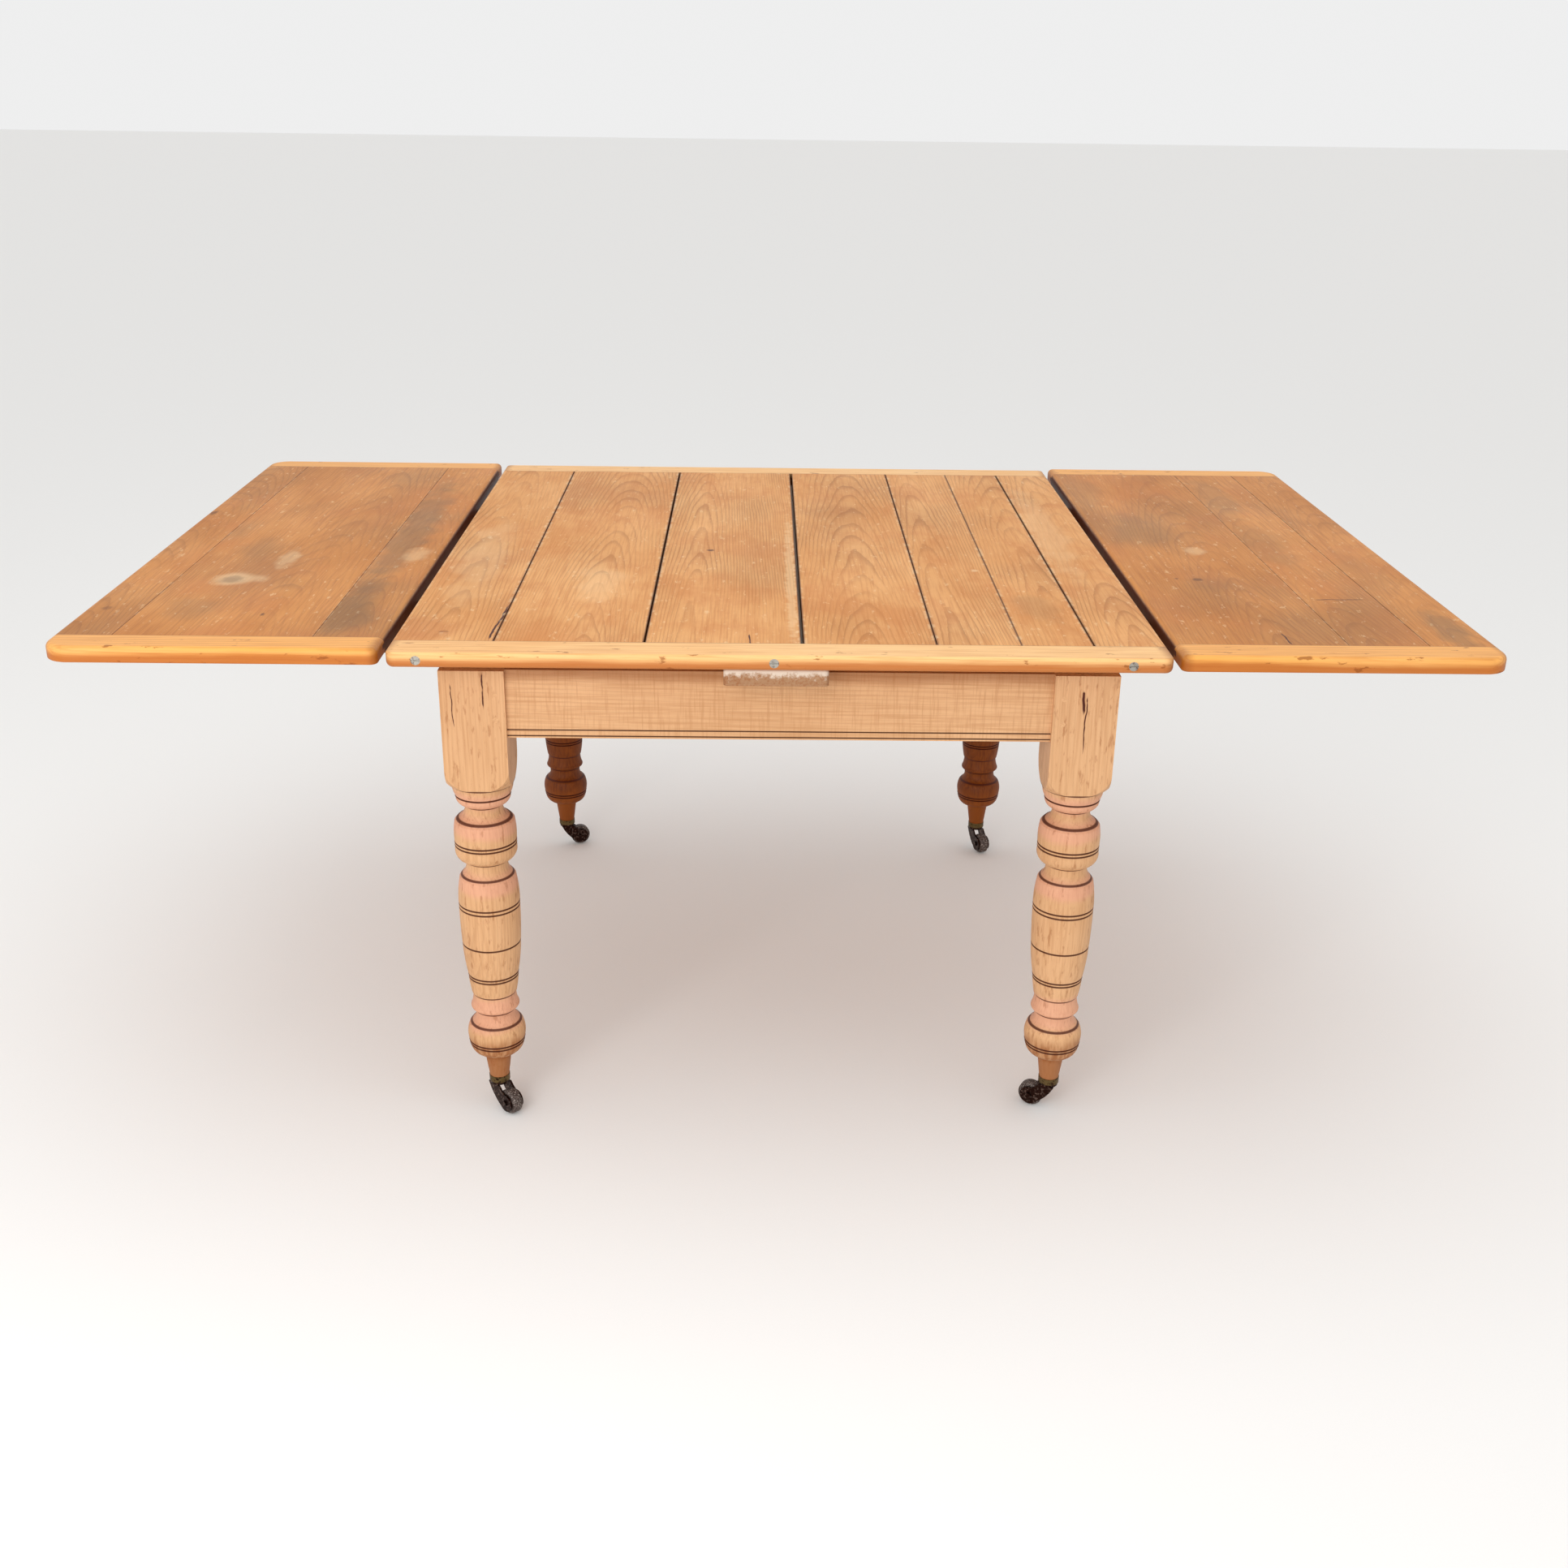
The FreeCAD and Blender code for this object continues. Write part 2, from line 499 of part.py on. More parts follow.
def build_runner(label, turn, centre_y):
    """A tapered runner: flat under the leaf, its lower edge on the slope that the leaf slides."""
    body = new_body(label, (0, 0, 0), turn)
    shoulder = "(%s + size.runner_setback)" % LEAF_INNER
    level = "(%s - size.slide_clearance)" % TOP_UNDER
    bend = "(size.tail_level_x + (%s - size.frame_top + size.slide_clearance) / %s)" % (level,
                                                                                       SLOPE)
    outline = (
        ("-size.runner_outer", runner_bottom("size.runner_outer"), 0),
        ("-size.runner_tail", runner_bottom("size.runner_tail"), 0),
        ("-size.runner_tail", tail_top("size.runner_tail"), 0),
        ("-" + bend, level, 0),
        ("-" + shoulder, level, 0),
        ("-" + shoulder, LEAF_UNDER, 0),
        ("-size.runner_outer", LEAF_UNDER, 0),
    )
    start = "%s - size.runner_thick / 2" % centre_y
    add_plate(body, "runner", outline, start, "size.runner_thick")
    add_rods(body, "stop_peg_hole", "Y", (stop_peg_centre(),), "size.stop_peg_dia", start,
             "size.runner_thick", cut=True)
    centres = [(x, centre_y) for x in ("-size.leaf_screw_outer", "-size.leaf_screw_inner")]
    head_top = "(size.leaf_screw_head_z + size.leaf_screw_head_thick)"
    below = runner_bottom("size.leaf_screw_inner") + " - size.overcut"
    add_rods(body, "screw_holes", "Z", centres, "size.leaf_screw_shank", head_top,
             "%s - %s" % (LEAF_UNDER, head_top), cut=True)
    add_rods(body, "head_holes", "Z", centres, "size.leaf_screw_head", below,
             "%s - (%s)" % (head_top, below), cut=True)


def build_stop_pegs(side, turn, centre_y):
    """Cross pegs in the runners' tails that meet the guide rail when the leaf is out."""
    body = new_body(side + "_stop_pegs", (0, 0, 0), turn)
    for name, hand in (("first_peg", -1), ("second_peg", 1)):
        add_rods(body, name, "Y", (stop_peg_centre(),), "size.stop_peg_dia",
                 "%d * %s - size.stop_peg_length / 2" % (hand, centre_y), "size.stop_peg_length")


def build_leaf_screws(side, turn, screws):
    """Four screws that hold the leaf down on its runners."""
    body = new_body(side + "_leaf_screws", (0, 0, 0), turn)
    head_top = "(size.leaf_screw_head_z + size.leaf_screw_head_thick)"
    add_rods(body, "heads", "Z", screws, "size.leaf_screw_head", "size.leaf_screw_head_z",
             "size.leaf_screw_head_thick")
    add_rods(body, "shanks", "Z", screws, "size.leaf_screw_shank", head_top,
             "size.leaf_screw_tip_z - " + head_top)


# ---------------------------------------------------------------- frame


def leg_outline():
    """The turned outline from the foot up, with a V of one size at each cut line."""
    points = []
    for name, _, _, form in TURNING:
        height = "size.%s_height" % name
        radius = "size.%s_radius" % name
        if form != "groove":
            points.append((radius, height, form))
            continue
        half = "size.groove_width / 2"
        points.append((radius, "%s - %s" % (height, half), 0))
        points.append(("%s - size.groove_depth" % radius, height, 0))
        points.append((radius, "%s + %s" % (height, half), 0))
    points.append((0, "size.block_inside_height", 0))
    points.append((0, "size.foot_tip_height", 0))
    return points


def build_leg(label, at, turn):
    """A leg: square block above, turned below, with its mortises, peg holes and castor bore."""
    body = new_body(label, at, turn)
    half = "(size.leg_square / 2)"
    add_block(body, "block", ("-" + half, "-" + half, "size.block_bottom"),
              ("size.leg_square", "size.leg_square", "size.frame_top - size.block_bottom"))
    start = "size.block_bottom - size.shoulder_start"
    add_turning(body, "block_shoulders", "XZ_Plane", "V_Axis",
                ((half, start, 0), ("size.block_reach", start, 0),
                 ("size.block_reach", "size.block_bottom + size.block_shoulder", -4)), cut=True)
    add_turning(body, "turning", "XZ_Plane", "V_Axis", leg_outline())
    line = "(size.apron_setback + size.apron_thick / 2 - %s)" % half
    inner = "(%s - size.tenon_length - size.tenon_clearance)" % half
    low = "%s - size.tenon_thick / 2" % line
    tall = "size.tenon_top - size.tenon_bottom"
    deep = "size.tenon_length + size.tenon_clearance"
    add_block(body, "mortise_x", (inner, low, "size.tenon_bottom"),
              (deep, "size.tenon_thick", tall), cut=True)
    add_block(body, "mortise_y", (low, inner, "size.tenon_bottom"),
              ("size.tenon_thick", deep, tall), cut=True)
    along = "%s - size.draw_peg_inset" % half
    pegs = [(along, height) for height in ("size.draw_peg_low", "size.draw_peg_high")]
    add_rods(body, "front_peg_holes", "Y", pegs, "size.draw_peg_dia", "-" + half,
             "size.draw_peg_length", cut=True)
    add_rods(body, "side_peg_holes", "X", pegs, "size.draw_peg_dia", "-" + half,
             "size.draw_peg_length", cut=True)
    add_rods(body, "castor_bore", "Z", ((0, 0),),
             "size.spigot_dia + 2 * size.running_clearance", "size.tip_height",
             "size.socket_depth", cut=True)


def build_draw_pegs():
    """Sixteen pegs, two through every mortise and tenon of the frame."""
    body = new_body("draw_pegs")
    half = "(size.leg_square / 2)"
    heights = ("size.draw_peg_low", "size.draw_peg_high")
    inset = "(%s - size.draw_peg_inset)" % half
    across = [("%d * (size.leg_spread_x - %s)" % (hand, inset), height)
              for hand in (-1, 1) for height in heights]
    along = [("%d * (size.leg_spread_y - %s)" % (hand, inset), height)
             for hand in (-1, 1) for height in heights]
    outer_y = "(size.leg_spread_y + %s)" % half
    outer_x = "(size.leg_spread_x + %s)" % half
    add_rods(body, "front_pegs", "Y", across, "size.draw_peg_dia", "-" + outer_y,
             "size.draw_peg_length")
    add_rods(body, "back_pegs", "Y", across, "size.draw_peg_dia",
             "%s - size.draw_peg_length" % outer_y, "size.draw_peg_length")
    add_rods(body, "left_pegs", "X", along, "size.draw_peg_dia", "-" + outer_x,
             "size.draw_peg_length")
    add_rods(body, "right_pegs", "X", along, "size.draw_peg_dia",
             "%s - size.draw_peg_length" % outer_x, "size.draw_peg_length")


def build_apron(label, at, turn, spread, runner_y=None):
    """A rail between two legs, modelled as the front one: X runs along it, -Y is its outside."""
    body = new_body(label, at, turn)
    span = "(2 * %s - size.leg_square)" % spread
    half_thick = "(size.apron_thick / 2)"
    height = "(size.frame_top - size.apron_bottom)"
    add_block(body, "rail", ("-%s / 2" % span, "-" + half_thick, "size.apron_bottom"),
              (span, "size.apron_thick", height))
    full = "(%s + 2 * size.tenon_length)" % span
    add_block(body, "tenons", ("-%s / 2" % full, "-size.tenon_thick / 2", "size.tenon_bottom"),
              (full, "size.tenon_thick", "size.tenon_top - size.tenon_bottom"))
    for name, level in (("low_quirk", "size.bead_low"), ("high_quirk", "size.bead_high")):
        add_block(body, name, ("-%s / 2" % span, "-" + half_thick, level),
                  (span, "size.quirk_depth", "size.quirk_width"), cut=True)
    hole_x = "(%s / 2 + size.draw_peg_inset)" % span
    centres = [("%d * %s" % (hand, hole_x), level) for hand in (-1, 1)
               for level in ("size.draw_peg_low", "size.draw_peg_high")]
    add_rods(body, "peg_holes", "Y", centres, "size.draw_peg_dia", "-" + half_thick,
             "size.apron_thick", cut=True)
    if runner_y:
        for name, hand in (("first_notch", -1), ("second_notch", 1)):
            width = "(size.runner_thick + 2 * size.slide_clearance)"
            add_block(body, name, ("%d * %s - %s / 2" % (hand, runner_y, width),
                                   "-" + half_thick, "size.runner_seat"),
                      (width, "size.apron_thick", "size.frame_top - size.runner_seat"), cut=True)
        return
    for name, hand in (("first_rail_mortise", -1), ("second_rail_mortise", 1)):
        add_block(body, name, ("%d * size.rail_centre - size.rail_tenon_thick / 2" % hand,
                               half_thick + " - size.rail_tenon_length",
                               "size.rail_tenon_low"),
                  ("size.rail_tenon_thick", "size.rail_tenon_length",
                   "size.rail_tenon_high - size.rail_tenon_low"), cut=True)
    screws = [("%d * size.bearer_screw_x" % hand, 0) for hand in (-1, 1)]
    depth = "(size.bearer_screw_length - (%s - size.frame_top))" % TOP_UNDER
    add_rods(body, "bearer_screw_holes", "Z", screws, "size.bearer_screw_shank",
             "size.frame_top - " + depth, depth, cut=True)


def build_guide_rail(label, turn, own_y, other_y):
    """A rail under the bearer, modelled as the left one, notched for all four runners."""
    body = new_body(label, (0, 0, 0), turn)
    reach = "(%s - size.apron_thick / 2)" % APRON_Y
    low_x = "-size.rail_centre - size.rail_thick / 2"
    add_block(body, "rail", (low_x, "-" + reach, "size.rail_bottom"),
              ("size.rail_thick", "2 * " + reach, "size.frame_top - size.rail_bottom"))
    full = "(%s + size.rail_tenon_length)" % reach
    add_block(body, "tenons", ("-size.rail_centre - size.rail_tenon_thick / 2", "-" + full,
                               "size.rail_tenon_low"),
              ("size.rail_tenon_thick", "2 * " + full,
               "size.rail_tenon_high - size.rail_tenon_low"))
    own_seat, other_seat = [
        runner_bottom("(%s - size.rail_thick / 2)" % centre) + " - size.seat_clearance"
        for centre in ("size.rail_centre", "-size.rail_centre")]
    own_width = "(size.runner_thick + 2 * size.slide_clearance)"
    other_width = "(size.stop_peg_length + size.stop_peg_room)"
    for name, y, width, seat in (("own", own_y, own_width, own_seat),
                                 ("other", other_y, other_width, other_seat)):
        for hand in (-1, 1):
            add_block(body, "%s_notch_%s" % (name, "front" if hand < 0 else "back"),
                      (low_x, "%d * %s - %s / 2" % (hand, y, width), seat),
                      ("size.rail_thick", width, "size.frame_top - (%s)" % seat), cut=True)


def build_bearer():
    """The fixed middle board on which the main top rests, with its screw and peg holes."""
    thick = "(%s - size.frame_top)" % TOP_UNDER
    body = new_body("centre_bearer", ("size.bearer_shift", 0, "size.frame_top"))
    add_block(body, "board", ("-size.bearer_width / 2", "-size.bearer_length / 2", 0),
              ("size.bearer_width", "size.bearer_length", thick))
    half = val("size.bearer_width / 2")
    end = val("size.bearer_length / 2")
    round_edges(body, "end_corners", "size.bearer_round",
                lambda edge: runs_along(edge, "z", x=(-half, half), y=(-end, end)))
    top = val(thick)
    round_edges(body, "worn_ends", "size.bearer_round - 1",
                lambda edge: runs_along(edge, "x", y=(-end, end), z=(top,)))
    pegs = [("-size.bearer_shift", "%d * size.guide_peg_y" % hand) for hand in (-1, 1)]
    add_rods(body, "peg_holes", "Z", pegs, PEG_BORE, 0, thick, cut=True)
    screws = bearer_screw_centres("-size.bearer_shift")
    add_rods(body, "screw_holes", "Z", screws, "size.bearer_screw_shank", 0, thick, cut=True)
    add_rods(body, "head_holes", "Z", screws, "size.bearer_screw_head",
             thick + " - size.bearer_screw_head_thick", "size.bearer_screw_head_thick", cut=True)


def bearer_screw_centres(shift):
    """Centres of the four screws through the bearer into the front and back aprons."""
    return [("%d * size.bearer_screw_x + %s" % (across, shift), "%d * %s" % (along, APRON_Y))
            for across in (-1, 1) for along in (-1, 1)]


def build_bearer_screws():
    """Four screws, heads let in flush with the bearer."""
    body = new_body("bearer_screws", (0, 0, TOP_UNDER))
    centres = bearer_screw_centres("0")
    add_rods(body, "heads", "Z", centres, "size.bearer_screw_head",
             "-size.bearer_screw_head_thick", "size.bearer_screw_head_thick")
    add_rods(body, "shanks", "Z", centres, "size.bearer_screw_shank", "-size.bearer_screw_length",
             "size.bearer_screw_length - size.bearer_screw_head_thick")


# ---------------------------------------------------------------- castors


def build_collars():
    """Four brass cups round the feet, open below for the castors' spigots."""
    body = new_body("castor_collars")
    for name, x, y in (("front_left", -1, -1), ("front_right", 1, -1),
                       ("back_left", -1, 1), ("back_right", 1, 1)):
        centre = (("%d * size.leg_spread_x" % x, "%d * size.leg_spread_y" % y),)
        add_rods(body, name, "Z", centre, "2 * size.collar_radius", "size.collar_bottom",
                 "size.collar_top - size.collar_bottom")
        add_rods(body, name + "_seat", "Z", centre, "2 * size.foot_tip_radius",
                 "size.tip_height", "size.collar_top - size.tip_height", cut=True)
        add_rods(body, name + "_hole", "Z", centre, "size.spigot_dia + 1",
                 "size.collar_bottom", "size.tip_height - size.collar_bottom", cut=True)


def build_castor(name, x, y, heading):
    """A castor: swivelling fork with its spigot, riveted axle, and wheel."""
    at = ("%d * size.leg_spread_x" % x, "%d * size.leg_spread_y" % y, 0)
    fork = new_body("castor_fork_" + name, at, heading)
    add_rods(fork, "plate", "Z", ((0, 0),), "size.fork_plate_dia", "size.fork_plate_low",
             "size.fork_plate_thick")
    add_rods(fork, "spigot", "Z", ((0, 0),), "size.spigot_dia",
             "size.fork_plate_low + size.fork_plate_thick", "size.spigot_length")
    horn = (
        ("-size.horn_root", "size.fork_plate_low", 3),
        ("size.castor_trail - size.horn_back", "size.wheel_radius - size.horn_low", 0),
        ("size.castor_trail + size.horn_front", "size.wheel_radius + size.horn_high", -3),
        ("size.horn_root", "size.fork_plate_low", 0),
    )
    axle_at = (("size.castor_trail", "size.wheel_radius"),)
    for side, start in (("near", "-%s - size.cheek_thick" % CHEEK_INNER), ("far", CHEEK_INNER)):
        add_plate(fork, side + "_horn", horn, start, "size.cheek_thick")
        add_rods(fork, side + "_hub", "Y", axle_at, "2 * size.hub_radius", start,
                 "size.cheek_thick")
        add_rods(fork, side + "_axle_hole", "Y", axle_at, "size.axle_dia", start,
                 "size.cheek_thick", cut=True)
    turn = math.radians(heading)
    centre = ("%s + size.castor_trail * %r" % (at[0], math.cos(turn)),
              "%s + size.castor_trail * %r" % (at[1], math.sin(turn)), "size.wheel_radius")
    outside = "(%s + size.cheek_thick)" % CHEEK_INNER
    axle = new_body("castor_axle_" + name, centre, heading)
    add_rods(axle, "pin", "Y", ((0, 0),), "size.axle_dia", "-" + outside, "2 * " + outside)
    add_rods(axle, "near_rivet", "Y", ((0, 0),), "size.rivet_dia",
             "-%s - size.rivet_thick" % outside, "size.rivet_thick")
    add_rods(axle, "far_rivet", "Y", ((0, 0),), "size.rivet_dia", outside, "size.rivet_thick")
    wheel = new_body("castor_wheel_" + name, centre, heading)
    bore = "size.axle_dia / 2 + size.running_clearance"
    tread = "(%s - size.wheel_chamfer)" % HALF_WHEEL
    shoulder = "(size.wheel_radius - size.wheel_chamfer)"
    add_turning(wheel, "tread", "YZ_Plane", "H_Axis",
                (("-" + HALF_WHEEL, bore, 0), (HALF_WHEEL, bore, 0), (HALF_WHEEL, shoulder, 0.8),
                 (tread, "size.wheel_radius", 0), ("-" + tread, "size.wheel_radius", 0.8),
                 ("-" + HALF_WHEEL, shoulder, 0)))


# ---------------------------------------------------------------- whole table


def build_table():
    """Build every sub-part."""
    corners = (("front_left", -1, -1, 0, -45), ("front_right", 1, -1, 90, 150),
               ("back_right", 1, 1, 180, -70), ("back_left", -1, 1, 270, 20))
    for name, x, y, turn, _ in corners:
        build_leg("leg_" + name, ("%d * size.leg_spread_x" % x, "%d * size.leg_spread_y" % y, 0),
                  turn)
    build_apron("apron_front", (0, "-" + APRON_Y, 0), 0, "size.leg_spread_x")
    build_apron("apron_back", (0, APRON_Y, 0), 180, "size.leg_spread_x")
    build_apron("apron_left", ("-" + APRON_X, 0, 0), 270, "size.leg_spread_y",
                "size.left_runner_y")
    build_apron("apron_right", (APRON_X, 0, 0), 90, "size.leg_spread_y", "size.right_runner_y")
    build_draw_pegs()
    build_guide_rail("guide_rail_left", 0, "size.left_runner_y", "size.right_runner_y")
    build_guide_rail("guide_rail_right", 180, "size.right_runner_y", "size.left_runner_y")
    build_bearer()
    build_bearer_screws()
    build_collars()
    build_main_top()
    build_leaf("left")
    build_leaf("right")
    for name, x, y, _, heading in corners:
        build_castor(name, x, y, heading)


def check_document():
    """Stop if any object failed to recompute or any sub-part's shape is bad."""
    for item in doc.Objects:
        if "Invalid" in item.State or "Error" in item.State:
            raise RuntimeError("%s failed: %s" % (item.Label, item.State))
    for body in sub_parts:
        if body.Shape.isNull() or not body.Shape.isValid():
            raise RuntimeError("%s has no valid shape" % body.Label)


def export_parts():
    """Write one STEP file for each sub-part."""
    os.makedirs("parts", exist_ok=True)
    for body in sub_parts:
        body.Shape.exportStep("parts/%s.step" % body.Label)


fill_sheet()
build_table()
doc.recompute()
check_document()
export_parts()
print("%d sub-parts written" % len(sub_parts))
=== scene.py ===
import math

import bmesh
import bpy
from bpy.props import FloatProperty, FloatVectorProperty, PointerProperty
from mathutils import Matrix, Vector


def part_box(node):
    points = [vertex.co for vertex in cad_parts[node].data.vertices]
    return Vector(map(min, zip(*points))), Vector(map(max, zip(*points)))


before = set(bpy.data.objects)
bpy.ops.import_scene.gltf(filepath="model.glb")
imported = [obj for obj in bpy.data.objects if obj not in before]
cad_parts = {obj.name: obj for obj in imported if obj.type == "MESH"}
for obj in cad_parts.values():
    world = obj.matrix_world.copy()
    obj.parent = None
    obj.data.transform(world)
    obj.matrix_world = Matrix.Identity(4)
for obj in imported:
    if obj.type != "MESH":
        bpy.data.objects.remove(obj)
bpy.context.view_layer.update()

bl_info = {
    "name": "Draw-leaf Pine Table",
    "version": (1, 0, 0),
    "blender": (4, 5, 0),
    "location": "View3D > Sidebar > Table",
    "description": "Finishes the boards, legs and castors of a draw-leaf table in old pine",
    "category": "Object",
}

MM = 0.001
CORNERS = ("front_left", "front_right", "back_left", "back_right")


def srgb(code, alpha=1.0):
    """Turn an sRGB hex colour into the linear one that the shaders use."""
    channels = [int(code[i:i + 2], 16) / 255 for i in (0, 2, 4)]
    return tuple([c / 12.92 if c <= 0.04045 else ((c + 0.055) / 1.055) ** 2.4
                  for c in channels] + [alpha])


def tone(name, description, code):
    """A colour setting with its default given in sRGB hex."""
    return FloatVectorProperty(name=name, description=description, subtype="COLOR", size=4,
                               min=0, max=1, default=srgb(code))


# ---------------------------------------------------------------- settings


class PineSettings(bpy.types.PropertyGroup):
    """Tones and grain of the pine."""

    top_light: tone("Top, light", "Early wood of the scrubbed main top", "ECB06E")
    top_dark: tone("Top, dark", "Late wood and old wax on the main top", "BE7430")
    leaf_light: tone("Leaf, light", "Early wood of the leaves", "DC9444")
    leaf_dark: tone("Leaf, dark", "Late wood of the leaves, kept from the light", "A25A18")
    # The clamps' pale upper tone is scrubbed pine with a painted highlight.
    clamp_scrub_and_highlight: tone("Clamp, light", "Scrubbed upper side of the clamps", "F8C98A")
    # The clamps' dark tone is orange wax and painted shade low on their rounded edges.
    clamp_wax_and_shade: tone("Clamp, dark", "Orange wax left low on the clamps' edges", "B25F1F")
    leaf_clamp: tone("Leaf clamp", "Upper side of the leaves' clamps", "F3AC52")
    frame_light: tone("Frame, light", "Stripped pine of legs and aprons", "DEAF82")
    frame_dark: tone("Frame, dark", "Late wood of legs and aprons", "B98558")
    warm_wax: tone("Warm wax", "Orange wax worn into the boards in patches", "C4722B")
    bearer_pale: tone("Bearer, worn", "Pale grey where the bearer's end is rubbed", "D3C0AE")
    stain_grey: tone("Grey stain", "Water stain in the leaves", "6E5638")
    bare_pale: tone("Bare fibre", "Freshly scuffed fibre", "F3D3A4")
    primer_pink: tone("Pink primer", "Old pink primer left in the turnings", "DF9A88")
    # The cut line tone is dirt and old stain, and also painted shade in the leg cuts and in the
    # gaps beside the leaves.
    seam_dirt_and_shade: tone("Cut line", "Dirt and old stain in cuts and seams", "4A1A0C")
    # The brown varnish tones are darker than the varnish itself, to hold painted shade on the
    # back legs.
    brown_varnish_and_shade: tone("Old varnish", "Brown varnish left on the back legs and inside", "8A460C")
    dark_varnish_and_shade: tone("Old varnish, dark", "Where the brown varnish lies thick", "4C1A04")
    bearer_grey: tone("Bearer", "Weathered grey-brown end of the bearer", "A98766")
    ring_width: FloatProperty(name="Ring width", description="Width of one year's growth",
                              default=0.0042, unit="LENGTH", min=0.001)
    fibre_width: FloatProperty(name="Fibre width", description="Width of a streak of fibre",
                               default=0.0016, unit="LENGTH", min=0.0002)


class MetalSettings(bpy.types.PropertyGroup):
    """Tones of the screws and castors."""

    steel: tone("Screw steel", "Dull zinc-grey steel", "A9A59C")
    iron: tone("Castor iron", "Brown-black iron with thin japanning", "2A1712")
    iron_worn: tone("Worn iron", "Edges rubbed down to metal", "6E5C54")
    # Pale dust and scratches, with painted glints, speckled over the wheels.
    dust_and_glint: tone("Dust", "Pale dust and scratches on the wheels", "A79B93")
    brass: tone("Collar brass", "Tarnished brass", "6B5A3A")
    wheel: tone("Wheel", "Scraped wheel, brown-black under grey scratches", "3A2A24")


class StageSettings(bpy.types.PropertyGroup):
    """Floor, light and camera."""

    floor_tone: tone("Floor", "Plain pale floor", "F4F3F1")
    sky_strength: FloatProperty(name="Sky", description="Strength of the even light all round",
                                default=0.86, min=0)
    key_power: FloatProperty(name="Key light", description="Power of the large overhead light",
                             default=15.0, min=0, unit="POWER")
    front_power: FloatProperty(name="Front light", description="Power of the light at the camera",
                               default=56.0, min=0, unit="POWER")
    camera_lens: FloatProperty(name="Lens", description="Focal length for a 36 mm wide sensor",
                               default=39.16, subtype="DISTANCE_CAMERA", min=10)


# ---------------------------------------------------------------- patterns


# Sizes of one patch of each pattern in the wood, in millimetres: across the grain, along it and
# through the board.
SWAY = (181.8182, 1111.111, 181.8182)    # how far the year rings run before they wander
CLOUD = (142.8571, 317.4603, 142.8571)   # light and dark in the old wax
BROAD = (166.6667, 333.3333, 166.6667)   # faces scrubbed bare or waxed over
WAX = (111.1111, 185.1852, 111.1111)     # orange wax worn in
SPECK = (8.333333, 23.80952, 8.333333)   # flecks of bare fibre
SMUDGE = (6.25, 28.40909, 6.25)          # brown smears up a leg
STREAK = (2, 66.66667, 2)                # a streak of fibre, in widths of the fibre instead
# The same for wear and marks, in millimetres along the table's X, Y and Z.
CHIP = (16.66667,) * 3                   # chips along a seam
SPLIT = (22.22222,) * 3                  # bends of a drying split
KNOCK = (30.07519, 10.52632, 10.52632)   # dents along a clamp
RESIDUE = (7.142857, 7.142857, 28.57143)  # brown residue on a foot
SAW = (2.380952, 2.380952, 39.68254)     # upright saw marks, coarser than real ones to show
FLOOR = (2.5,) * 3                       # speckle of the floor


def add(tree, kind, inputs=(), out=0, **settings):
    """Add a node with its settings, set or link its inputs, and give one of its outputs."""
    node = tree.nodes.new("ShaderNode" + kind)
    for key, value in settings.items():
        setattr(node, key, value)
    for socket, value in inputs.items() if isinstance(inputs, dict) else enumerate(inputs):
        if isinstance(value, bpy.types.NodeSocket):
            tree.links.new(value, node.inputs[socket])
        else:
            node.inputs[socket].default_value = value
    return node.outputs[out]


def patches(tree, place, size, detail=2.0, rough=0.5, out=0):
    """Give an uneven pattern, with its patches' size in millimetres along each axis.

    Its values lie round 0.5, mostly between 0.3 and 0.7.
    """
    rate = tuple(1 / (length * MM) for length in size)
    spread = add(tree, "VectorMath", (place, rate), operation="MULTIPLY")
    return add(tree, "TexNoise", {"Vector": spread, "Scale": 1.0, "Detail": detail,
                                  "Roughness": rough}, out)


def lay(tree, colour, ink, value, low=0.0, high=1.0, force=1.0, ramp="SMOOTHSTEP"):
    """Lay an ink over a colour where a value passes from low to high, up to a force."""
    amount = add(tree, "MapRange", {"Value": value, "From Min": low, "From Max": high,
                                    "To Max": force}, interpolation_type=ramp)
    return add(tree, "Mix", {0: amount, 6: colour, 7: tuple(ink)}, 2, data_type="RGBA")


def band(tree, value, rise, fall, force=1.0):
    """Give a force where a value is past its rise and short of its fall, two pairs of limits."""
    risen = add(tree, "MapRange", {"Value": value, "From Min": rise[0], "From Max": rise[1],
                                   "To Max": force}, interpolation_type="SMOOTHSTEP")
    return add(tree, "MapRange", {"Value": value, "From Min": fall[1], "From Max": fall[0],
                                  "To Max": risen}, interpolation_type="SMOOTHSTEP")


def two_tone(tree, grain, light, dark, gain, start):
    """Run from a light to a dark tone with the clouds of the wood."""
    shade = add(tree, "Math", (grain.cloud, gain, start), operation="MULTIPLY_ADD",
                use_clamp=True)
    return add(tree, "Mix", {0: shade, 6: tuple(light), 7: tuple(dark)}, 2, data_type="RGBA")


def deeper(colour, share):
    """Give a colour darkened to a share of its light."""
    return tuple(channel * share for channel in colour[:3]) + (1,)


def end_distance(tree, place, low, high):
    """Give the distance to the nearer end of a piece along X."""
    across = add(tree, "SeparateXYZ", (place,), "X")
    left = add(tree, "Math", (across, low), operation="SUBTRACT")
    right = add(tree, "Math", (high, across), operation="SUBTRACT")
    return add(tree, "Math", (left, right), operation="MINIMUM")


def new_material(name):
    """Start a material and return it with its tree, shader and position."""
    material = bpy.data.materials.new(name)
    material.use_nodes = True
    tree = material.node_tree
    shader = next(n for n in tree.nodes if n.type == "BSDF_PRINCIPLED")
    return material, tree, shader, add(tree, "TexCoord", out="Object")


